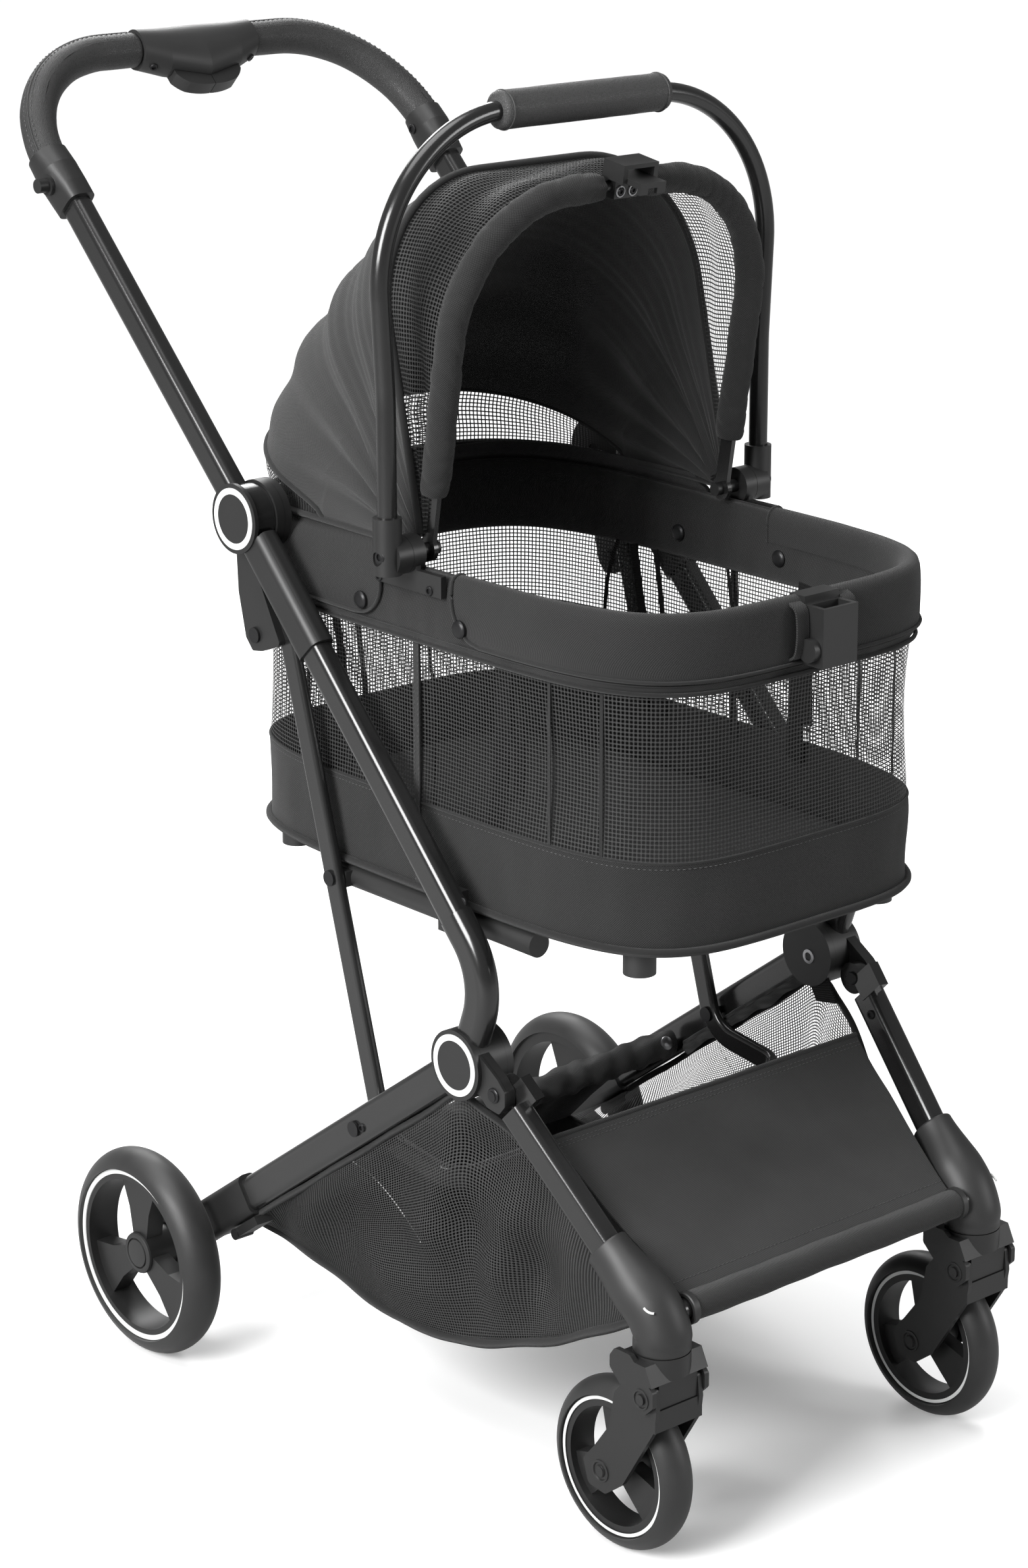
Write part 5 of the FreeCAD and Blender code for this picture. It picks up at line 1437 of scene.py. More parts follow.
@dataclass
class RimTrim:
    """Cloth covers over the rim band, with their bindings and snap buttons."""

    finishes: Finishes
    outline: Outline = field(default_factory=Outline)
    flap_round: float = 0.030
    back_end: float = -0.066
    front_end: float = -0.141

    def cover(self, name: str, ends: tuple[float, float], section: Run, steps: int) -> Piece:
        """Lays a cover with rounded ends over the band.

        Args:
            name: The piece's name.
            ends: Shares of the way round at its two ends.
            section: Its line over the band, in outward distance and height.
            steps: Faces along it.

        Returns:
            The cover.
        """
        length = self.outline.run.length
        corner = self.flap_round / length
        start, stop = ends
        cut = ((stop - start) * length, section.length)

        def place(u: float, v: float) -> Vector:
            """Point of the cover at a share along the band and over it."""
            low = max(0.0, (v - 0.62) / 0.38)
            inset = corner * (1 - math.sqrt(max(0.0, 1 - low * low)))
            share = (start + inset) + (stop - start - 2 * inset) * u
            spot = section.at(v)
            point = self.outline.at(share, spot.x, spot.z)
            puff = ripple(point, 28, 0.0011, 9.0) * math.sin(math.pi * min(1.0, v * 1.1))
            return self.outline.at(share, spot.x + max(-0.0004, puff), spot.z)

        def lifted(u: float, v: float) -> Vector:
            """Point of the cover's edge, a little off the cloth."""
            return place(u, v) + self.outline.out(start + (stop - start) * u) * 0.0006

        cover = sheet(name, steps, 22, place, cut)
        thicken(cover, 0.0011, 1)
        soften(cover)
        clad(cover, self.finishes.oxford, Slot.SHELL, Body.CARRIER)
        rim = [lifted(0, k / 40) for k in range(41)]
        rim += [lifted(k / 160, 1) for k in range(1, 160)]
        rim += [lifted(1, 1 - k / 40) for k in range(41)]
        edge = sleeve(name + "_binding", Run(tuple(rim)), lambda u, v: 0.0014, Vector((0.013, 0.017, 1)),
                      8, 260)
        clad(edge, self.finishes.piping, Slot.SHELL, Body.CARRIER)
        return cover

    def snaps(self) -> None:
        """Snap buttons on the ends of the covers, with their posts inside the wall."""
        spots = []
        for side in Side:
            for y in (-0.154, -0.047):
                share = self.outline.share_at(side.value, y)
                out = self.outline.out(share)
                spots.append((self.outline.at(share, 0.0078, 0.653), out))
                spots.append((self.outline.at(share - side.value * 0.002, -0.0085, 0.653), -out))
        button = turned("snap_button", [(0, 0.0066), (0.0012, 0.0066), (0.0022, 0.0058), (0.0028, 0.0040),
                                        (0.0029, 0.0016)], 32)
        clad(copies("rim_snap_buttons", button, spots), self.finishes.bolt, Slot.BOLTS, Body.CARRIER)

    def binding_strips(self) -> None:
        """Upright binding strips on the wall beside the brackets."""
        for side in Side:
            share = self.outline.share_at(side.value, -0.0925)
            out = self.outline.out(share)
            line = self.outline.upright(share, 0.0016, 0.640, -0.192, 40)
            strip = ribbon(f"wall_binding_{side.label}", line, 0.0065, lambda s, o=out: o, 0.0016)
            clad(strip, self.finishes.piping, Slot.SHELL, Body.CARRIER)
            name = f"wall_binding_stitches_{side.label}"
            rows = []
            for shift in (-0.0021, 0.0021):
                row = Run(tuple(p + Vector((0, shift, 0)) + out * 0.0009 for p in line.points))
                rows.append(stitches(f"{name}_{len(rows)}", row, lambda s, o=out: o))
            clad(joined(name, rows), self.finishes.thread, Slot.SHELL, Body.CARRIER)
            self.straps(side)

    def straps(self, side: Side) -> None:
        """Strap and loose tail with its buckle, hanging inside one wall."""
        inside = self.outline.share_at(side.value, -0.1875)
        inward = -self.outline.out(inside)

        def hung(*spots: tuple[float, float, float]) -> Run:
            """Line through spots given as distance outwards, shift along Y and height."""
            return curved([self.outline.at(inside, gap, z) + Vector((0, dy, 0)) for gap, dy, z in spots])

        hang = hung((-0.0060, 0.0, 0.638), (-0.0085, 0.003, 0.600), (-0.0090, 0.006, 0.555),
                    (-0.0065, 0.010, 0.498))
        tail = hung((-0.0100, -0.003, 0.620), (-0.0130, -0.007, 0.590), (-0.0135, -0.009, 0.560),
                    (-0.0120, -0.008, 0.530))
        for name, line, width, thick, steps in (("wall_strap", hang, 0.0165, 0.0014, 30),
                                                ("wall_strap_tail", tail, 0.0115, 0.0012, 24)):
            strap = ribbon(f"{name}_{side.label}", line, width, lambda s: inward, thick, steps)
            clad(strap, self.finishes.webbing, Slot.SHELL, Body.CARRIER)
            line.length
        ring = Run(tuple(tail.at(1.0) + Vector((0, dy, dz)) for dy, dz in (
            (-0.008, 0.004), (0.008, 0.004), (0.008, -0.004), (-0.008, -0.004))), True)
        buckle = sleeve(f"wall_buckle_{side.label}", ring, lambda u, v: 0.0012, Vector((1, 0.01, 0.02)),
                        8, 32)
        clad(buckle, self.finishes.plastic, Slot.PLASTIC, Body.CARRIER)

    def ties(self) -> None:
        """Thin ties and net joins on the inside of the walls."""
        hangs = (
            (0.0075, ((0.0055, 0.634), (-0.001, 0.600), (-0.0065, 0.568), (-0.008, 0.500))),
            (0.0030, ((0.024, 0.634), (0.036, 0.600), (0.040, 0.559), (0.041, 0.500))),
            (0.0045, ((-0.020, 0.634), (-0.026, 0.600), (-0.0295, 0.570), (-0.031, 0.500))),
            (0.0022, ((-0.102, 0.634), (-0.106, 0.610), (-0.1078, 0.594), (-0.109, 0.500))),
        )
        for side in Side:
            made = []
            for width, spots in hangs:
                line = curved([side.at(0.1505, y, z) for y, z in spots])
                made.append(ribbon(f"wall_tie_{side.label}_{len(made)}", line, width,
                                   lambda s, o=side.at(-1, 0, 0): o, 0.0014, 24))
            clad(joined(f"wall_ties_{side.label}", made), self.finishes.webbing, Slot.SHELL, Body.CARRIER)
            seams = []
            for y in (-0.285, -0.240):
                share = self.outline.share_at(side.value, y)
                line = self.outline.upright(share, 0.0006, 0.508, 0.126, 20)
                seams.append(ribbon(f"net_join_{side.label}_{len(seams)}", line, 0.0026,
                                    lambda s, o=self.outline.out(share): o, 0.0006, 20))
            clad(joined(f"net_joins_{side.label}", seams), self.finishes.piping, Slot.NET, Body.CARRIER)

    def lock_casing(self) -> None:
        """Sewn cloth loops on both sides of the front lock."""
        for side in Side:
            line = curved([side.at(0.0235, y, z) for y, z in (
                (-0.3485, 0.686), (-0.3555, 0.682), (-0.3575, 0.672), (-0.3575, 0.660), (-0.3555, 0.650),
                (-0.3505, 0.646))])
            loop = ribbon(f"lock_casing_{side.label}", line, 0.0115, lambda s: Vector((0, -1, 0.02)),
                          0.0016, 30)
            clad(loop, self.finishes.oxford, Slot.SHELL, Body.CARRIER)

    def build(self) -> None:
        """Makes the covers and the small cloth parts."""
        near, far = (self.outline.share_at(s, self.back_end) for s in (-1, 1))
        back = curved(vectors((-0.0095, 0, 0.7045), (-0.0040, 0, 0.6955), (0.0035, 0, 0.6895),
                              (0.0062, 0, 0.679), (0.0064, 0, 0.660), (0.0060, 0, 0.6425)))
        self.cover("rim_cover_back", (far - 1.0, near), back, 240)
        near, far = (self.outline.share_at(s, self.front_end) for s in (-1, 1))
        front = curved(vectors((-0.0096, 0, 0.664), (-0.0092, 0, 0.682), (-0.0055, 0, 0.6888),
                               (0.0, 0, 0.6898), (0.0048, 0, 0.6868), (0.0062, 0, 0.678),
                               (0.0064, 0, 0.660), (0.0060, 0, 0.6425)))
        self.cover("rim_cover_front", (near, far), front, 240)
        self.snaps()
        self.binding_strips()
        self.ties()
        self.lock_casing()
        LOG.info("made the rim covers")


# --- basket


@dataclass
class Basket:
    """Sling basket under the carrier: net sides, cloth bottom, cloth front panel and bindings."""

    finishes: Finishes
    hub: Vector = field(default_factory=lambda: Vector((0, -0.184, 0.338)))
    axle: Vector = field(default_factory=lambda: Vector((0, 0.163, 0.085)))
    bar: Vector = field(default_factory=lambda: Vector((0, -0.370, 0.194)))
    panel_top: Vector = field(default_factory=lambda: Vector((0, -0.243, 0.288)))
    panel_half: float = 0.1385
    bottom_half: float = 0.163
    hub_x: float = 0.1835
    back_x: float = 0.1790
    way: Vector = field(init=False)
    drop: Vector = field(init=False)
    top: Run = field(init=False)
    low: Run = field(init=False)

    def __post_init__(self) -> None:
        """Works out the slant of the rear legs and the edges of the side nets."""
        self.way = (self.axle - self.hub).normalized()
        self.drop = Vector((0, self.way.z, -self.way.y))
        leg = [self.hub + self.way * reach + self.drop * 0.0165
               for reach in (0.333, 0.250, 0.150, 0.060, 0.022)]
        front = vectors((0, -0.199, 0.303), (0, -0.228, 0.286), (0, -0.262, 0.252), (0, -0.300, 0.212),
                        (0, -0.337, 0.187))
        self.top = curved([*leg, *front], 6)
        self.low = curved([Vector((0, y, z)) for y, z in (
            (0.097, 0.113), (0.060, 0.110), (0.011, 0.103), (-0.070, 0.090), (-0.149, 0.097),
            (-0.202, 0.114), (-0.261, 0.1375), (-0.341, 0.181))], 6)

    def top_x(self, y: float) -> float:
        """Distance of the net's upper edge from the middle plane."""
        if y > -0.19:
            return self.hub_x + 0.0125 * max(0.0, (y + 0.184) / 0.262)
        return self.hub_x - 0.034 * min(1.0, (-0.19 - y) / 0.11)

    def side_place(self, side: Side) -> Place:
        """Surface of one side net, from its top edge down, and from back to front.

        Args:
            side: The net's side.

        Returns:
            A function that gives the point for each share down and along.
        """
        def place(u: float, v: float) -> Vector:
            """Point at a share across and along."""
            top, low = self.top.at(v), self.low.at(v)
            spot = top.lerp(low, u)
            width = self.top_x(top.y) + (self.bottom_half - self.top_x(top.y)) * u
            tall, slack = (top - low).length, math.sin(math.pi * u)
            fold = 0.0070 * math.sin(27 * v + 3.5 * u + 1.8 * math.sin(9 * v)) * slack ** 0.7
            fold += ripple(spot + UP * side.value, 20, 0.011) * slack
            return side.at(width + 0.045 * tall * slack + fold * min(1.0, tall / 0.12), spot.y, spot.z)

        return place

    def follow(self, piece: Piece) -> None:
        """Rides a piece on the frame, with a mesh of its own."""
        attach(piece, Body.FRAME.value)
        tuple(self.drop)
        tuple(self.hub)
        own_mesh(piece)

    def sides(self) -> None:
        """Net sides with their dark bindings and dotted seam."""
        for side in Side:
            place = self.side_place(side)
            tall, long = 0.205, self.low.length
            net = sheet(f"basket_net_{side.label}", 28, 110,
                        place if side is Side.RIGHT else lambda u, v: place(1 - u, v), (tall, long))
            soften(net)
            clad(net, self.finishes.basket_net, Slot.NET)
            edges = []
            for line, radius in ((traced(lambda s: place(1, s), 90), 0.0036),
                                 (traced(lambda s: place(s, 1), 1), 0.003),
                                 (traced(lambda s: place(0, s), 90), 0.0026)):
                edges.append(sleeve(f"basket_binding_{side.label}_{len(edges)}", line,
                                    lambda u, v, r=radius: r * (1 + 0.15 * math.sin(40 * v + 5 * u)),
                                    Vector((1, 0.02, 0.01)), 10, 110))
            binding = clad(joined(f"basket_binding_{side.label}", edges), self.finishes.piping, Slot.SHELL)
            seam = curved([place(0.02, 0.31), place(0.22, 0.37), place(0.42, 0.44), place(0.55, 0.505)])
            dots = stitches(f"basket_dotted_seam_{side.label}", seam, lambda s: side.at(1, 0, 0),
                            length=0.0016, gap=0.0012, thick=0.0005)
            clad(dots, self.finishes.pale_thread, Slot.NET)
            for piece in (net, binding, dots):
                self.follow(piece)
            if side is Side.RIGHT:
                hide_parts("storage_basket")

    def bottom(self) -> None:
        """Sagging cloth bottom between the two side nets."""
        def place(u: float, v: float) -> Vector:
            """Point at a share across and along."""
            low, side = self.low.at(v), 2 * u - 1
            x = self.bottom_half * side
            sag = 0.010 * (1 - side ** 2) * math.sin(math.pi * min(1.0, v * 1.05))
            wave = ripple(Vector((x, low.y, 0)), 14, 0.004) * (1 - side ** 4)
            return Vector((x, low.y, low.z + 0.001 - sag + wave))

        wide = 2 * self.bottom_half
        piece = sheet("basket_bottom_cloth", 60, 90, place, (wide, self.low.length))
        thicken(piece, 0.001, 0)
        soften(piece)
        self.follow(clad(piece, self.finishes.lining, Slot.SHELL))
        round(self.low.length, 3)
        hem = traced(lambda s: place(s, 0) + Vector((0, 0.002, 0.001)), 40)
        back = sleeve("basket_back_hem", hem, lambda u, v: 0.0035, LEAN, 12, 80)
        clad(back, self.finishes.piping, Slot.SHELL, Body.FRAME)

    def front_panel(self) -> None:
        """Cloth panel between the front legs: hem tube round the bar, stitched top hem."""
        length = (self.panel_top - self.bar).length
        way = (self.panel_top - self.bar).normalized()
        normal = Vector((0, -way.z, way.y))
        wide = 2 * self.panel_half

        def place(u: float, v: float) -> Vector:
            """Point at a share across and along."""
            x = (self.panel_half + 0.0185 * v) * (2 * u - 1)
            sag = -0.0045 * math.sin(math.pi * v) * (1 - 0.4 * (2 * u - 1) ** 2)
            spot = self.bar + way * (0.009 + (length - 0.009) * v) + normal * 0.002
            wave = ripple(Vector((x, spot.y * 1.6, 0.3)), 15, 0.0022)
            wave += ripple(Vector((x, spot.y, 0)), 45, 0.0006)
            return Vector((x, spot.y, spot.z)) + normal * (sag + wave * math.sin(math.pi * v) ** 0.6)

        def hem_radius(u: float, v: float) -> float:
            """Radius of the hem tube at a share round and along."""
            turn = ROUND * u
            return 0.0110 + 0.0002 * (math.sin(13 * v + 3 * math.sin(turn)) + math.sin(41 * v + turn))

        panel = sheet("basket_front_cloth", 90, 60, place, (wide, length))
        thicken(panel, 0.0012, 0)
        soften(panel)
        bar = traced(lambda s: self.bar + Vector((wide * s - self.panel_half, 0, 0)), 2)
        hem = sleeve("basket_front_hem", bar, hem_radius, LEAN, 28, 120)
        fold = traced(lambda s: place(s, 0.995) + normal * 0.0003, 60)
        roll = sleeve("basket_front_top_hem", fold, lambda u, v: 0.0019, LEAN, 10, 90)
        rows = [stitches(f"panel_stitches_{v}", traced(lambda s, v=v: place(s, v) + normal * 0.0008, 60),
                         lambda s: normal) for v in (0.935, 0.955, 0.075)]
        sewn = joined("basket_front_stitches", rows)
        for piece in (panel, hem, roll):
            clad(piece, self.finishes.twill, Slot.SHELL, Body.FRONT_LEGS)
        clad(sewn, self.finishes.thread, Slot.SHELL, Body.FRONT_LEGS)
        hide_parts("basket_front_panel")
        ring = turned("hem_end_ring", [(0, 0.0122), (0.0045, 0.0122), (0.0052, 0.0114), (0.0052, 0.0092),
                                       (0.0040, 0.0088)], 32)
        spots = both(self.panel_half - 0.002, self.bar.y, self.bar.z)
        rings = copies("basket_front_end_rings", ring, spots)
        clad(rings, self.finishes.soft_plastic, Slot.PLASTIC, Body.FRONT_LEGS)

    def back(self) -> None:
        """Back wall along the rear legs, and the cloth roll that it hangs from."""
        top, low = vectors((0, -0.018, 0.2125), (0, 0.097, 0.1135))
        rise = top - low
        normal = Vector((0, -rise.z, rise.y)).normalized()

        def place(u: float, v: float) -> Vector:
            """Point at a share across and along."""
            x = (self.back_x + (self.bottom_half - self.back_x) * (1 - v)) * (2 * u - 1)
            slack = math.sin(math.pi * v)
            fold = 0.0030 * math.sin(33 * u + 2 * math.sin(7 * u) + 2 * v) * slack
            fold += ripple(Vector((x, v * 0.1, 0.4)), 22, 0.006) * slack - 0.008 * slack
            spot = low.lerp(top, v)
            return Vector((x, spot.y, spot.z)) + normal * fold

        def radius(u: float, v: float) -> float:
            """Radius at a share round and along."""
            gather = 0.0012 * math.sin(44 * v + 5 * math.sin(ROUND * u + 3 * v))
            gather += 0.0008 * math.sin(91 * v - ROUND * u)
            return (0.0112 + gather) * (0.8 + 0.2 * math.sqrt(min(1.0, v / 0.03, (1 - v) / 0.03)))

        wall = sheet("basket_back_cloth", 80, 24, place, (2 * self.bottom_half, rise.length))
        thicken(wall, 0.001, 0)
        soften(wall)
        line = Run(tuple(Vector((x, top.y, top.z - 0.004 * (1 - (x / 0.175) ** 2))) for x in (
            -0.175, -0.12, -0.06, 0.0, 0.06, 0.12, 0.175)))
        roll = sleeve("basket_back_roll", line, radius, LEAN, 28, 160)
        self.follow(clad(wall, self.finishes.twill, Slot.SHELL))
        clad(roll, self.finishes.twill, Slot.SHELL, Body.FRAME)
        round(rise.length, 3)
        snap = turned("roll_snap", [(0, 0.0058), (0.0012, 0.0056), (0.0020, 0.0038)], 24)
        seat(snap, facing(Vector((0.160, top.y - 0.0095, top.z + 0.005)), Vector((0, -0.9, 0.43))))
        clad(snap, self.finishes.pin, Slot.BOLTS, Body.FRAME)

    def leg_bands(self) -> None:
        """Gathered cloth band under each rear leg, with a loop and eyelet at the lower hub."""
        long = 0.175
        for side in Side:
            def place(u: float, v: float, side: Side = side) -> Vector:
                """Point at a share across and along."""
                reach = 0.028 + long * v
                wave = 0.0010 * math.sin(17 * v + 3 * u) * u + 0.0008 * math.sin(29 * v)
                spot = self.hub + self.way * reach + self.drop * (0.0085 + (0.0095 + wave) * u)
                x = self.hub_x + 0.0145 * reach / 0.324 - 0.0098 - 0.003 * math.sin(2.4 * u)
                return side.at(x - 0.0009 * math.sin(37 * v + 5 * u), spot.y, spot.z)

            inward = side.at(-1, 0, 0)
            band = sheet(f"leg_band_{side.label}", 10, 60, place, (0.02, long))
            thicken(band, 0.0012, 0)
            soften(band)
            rim = sleeve(f"leg_band_edge_{side.label}", traced(lambda s: place(0.04, s), 40),
                         lambda u, v: 0.0022, Vector((1, 0.01, 0)), 8, 60)
            line = curved([side.at(0.1660, -0.176, 0.352), side.at(0.1635, -0.186, 0.338),
                           side.at(0.1650, -0.196, 0.318), side.at(0.1700, -0.200, 0.300)])
            loop = ribbon(f"hub_loop_{side.label}", line, 0.022, lambda s, o=inward: o, 0.0016, 24)
            for piece, look in ((band, self.finishes.twill), (rim, self.finishes.piping),
                                (loop, self.finishes.webbing)):
                clad(piece, look, Slot.SHELL, Body.FRAME)
            eye = turned(f"hub_eyelet_{side.label}", [(0, 0.0062), (0.0012, 0.0058), (0.0014, 0.0034),
                                                      (0.0004, 0.0030)], 28)
            seat(eye, facing(side.at(0.1630, -0.1865, 0.336), inward))
            clad(eye, self.finishes.pin, Slot.BOLTS, Body.FRAME)

    def build(self) -> None:
        """Makes every cloth piece of the basket."""
        self.sides()
        self.bottom()
        self.front_panel()
        self.back()
        self.leg_bands()
        LOG.info("made the basket")


# --- handle and bail


@dataclass
class Grips:
    """Padded leatherette grips of the push handle and of the bail."""

    finishes: Finishes
    hub: Vector = field(default_factory=lambda: Vector((0, 0.067, 0.698)))
    handle_x: float = 0.187
    reach: float = 0.434
    bend: float = 0.100
    radius: float = 0.0138
    bail_radius: float = 0.0140
    bail_half: float = 0.080

    def on_push(self, x: float, reach: float) -> Vector:
        """Point of the push bar, across and along it from the hub."""
        slope = math.sqrt(0.5) * reach
        return self.hub + Vector((x, slope, slope))

    def dressed(self, piece: Piece, look: Material, body: Body) -> Piece:
        """Gives a piece of a grip its finish and its body."""
        return clad(piece, look, Slot.LEATHER, body)

    def push_grips(self) -> None:
        """Left and right grip of the push handle, with a sewn seam on the inside of the bend."""
        made = []
        up = Vector((0, -1, 1)).normalized()
        for side in Side:
            far = side.value * self.handle_x
            run = rounded([self.on_push(far, 0.3413), self.on_push(far, self.reach),
                           self.on_push(side.value * 0.0563, self.reach)], [self.bend], 24)

            def radius(u: float, v: float, run: Run = run) -> float:
                """Radius at a share round and along."""
                end = max(0.0, min(1.0, v / 0.012, (1 - v) / 0.012))
                soft = ripple(run.at(v) + Vector((0.02 * u, 0, 0)), 45, 0.0003)
                return (self.radius + 0.0004 * math.sin(math.pi * v) + soft) * (0.9 + 0.1 * math.sqrt(end))

            def inward(share: float, run: Run = run, side: Side = side) -> Vector:
                """Direction of the seam from the grip's middle, at a share along."""
                return (run.way(share).cross(up).normalized() * side.value * 0.85 + up * 0.53).normalized()

            def sewn_at(k: int, shift: float, out: float, run: Run = run) -> Vector:
                """Point beside the seam, at a step along, shifted round the grip and outwards."""
                share = k / 120
                aside = run.way(share).cross(inward(share)) * shift
                return run.at(share) + (inward(share) * self.radius + aside).normalized() * out

            grip = sleeve(f"push_grip_{side.label}", run, radius, up, 36, 140)
            self.dressed(grip, self.finishes.leather, Body.PUSH_BAR)
            seam = Run(tuple(sewn_at(k, 0.0, self.radius) for k in range(3, 118)))
            groove = sleeve(f"push_grip_groove_{side.label}", seam, lambda u, v: 0.0011, up, 8, 110)
            self.dressed(groove, self.finishes.leather, Body.PUSH_BAR)
            for shift in (-0.0032, 0.0032):
                row = Run(tuple(sewn_at(k, shift, self.radius + 0.0004) for k in range(3, 118)))
                made.append(stitches(f"push_grip_seam_{len(made)}", row, inward,
                                     length=0.0026, gap=0.0022, thick=0.0006))
            if side is Side.LEFT:
                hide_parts("handle_grips")
        self.dressed(joined("push_grip_seams", made), self.finishes.thread, Body.PUSH_BAR)

    def bail_grip(self) -> None:
        """Grip on the bail, with end bindings and a seam underneath."""
        base = Vector((0, -0.099, 1.006))
        run = traced(lambda s: base + Vector((self.bail_half * (2 * s - 1), 0, 0)), 40)

        def radius(u: float, v: float) -> float:
            """Radius at a share round and along."""
            end = max(0.0, min(1.0, v / 0.03, (1 - v) / 0.03))
            soft = ripple(run.at(v) + Vector((0, 0.01 * math.sin(ROUND * u), 0)), 40, 0.0003)
            return (self.bail_radius + soft) * (0.8 + 0.2 * math.sqrt(1 - (1 - end) ** 2))

        grip = sleeve("bail_grip_padding", run, radius, Vector((0, 0.01, 1)), 40, 80)
        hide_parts("bail_grip")
        seams = []
        for way in (Vector((0, 0.5, -0.87)), Vector((0, 0.2, -0.98))):
            line = Run(tuple(base + Vector((x * MM, 0, 0)) + way * self.bail_radius
                             for x in range(-74, 75, 4)))
            seams.append(stitches(f"bail_seam_{len(seams)}", line, lambda s, w=way: w,
                                  length=0.003, gap=0.0016, thick=0.0004))
        sewn = joined("bail_grip_seams", seams)
        welts = []
        for side in Side:
            circle = traced(lambda s, end=base + side.at(0.0745, 0, 0): end + self.bail_radius * Vector(
                (0, math.cos(2 * math.pi * s), math.sin(2 * math.pi * s))), 48, True)
            welts.append(sleeve(f"bail_welt_{len(welts)}", circle, lambda u, v: 0.0008,
                                Vector((1, 0, 0)), 8, 48))
        welt = joined("bail_grip_welts", welts)
        for piece in (grip, welt):
            # The bail grip takes the lit copy of the leatherette, lighter by painted light.
            self.dressed(piece, self.finishes.bail_leather, Body.BAIL)
        self.dressed(sewn, self.finishes.thread, Body.BAIL)

    def build(self) -> None:
        """Makes the grips."""
        self.push_grips()
        self.bail_grip()
        LOG.info("made the grips")


# --- screws and caps


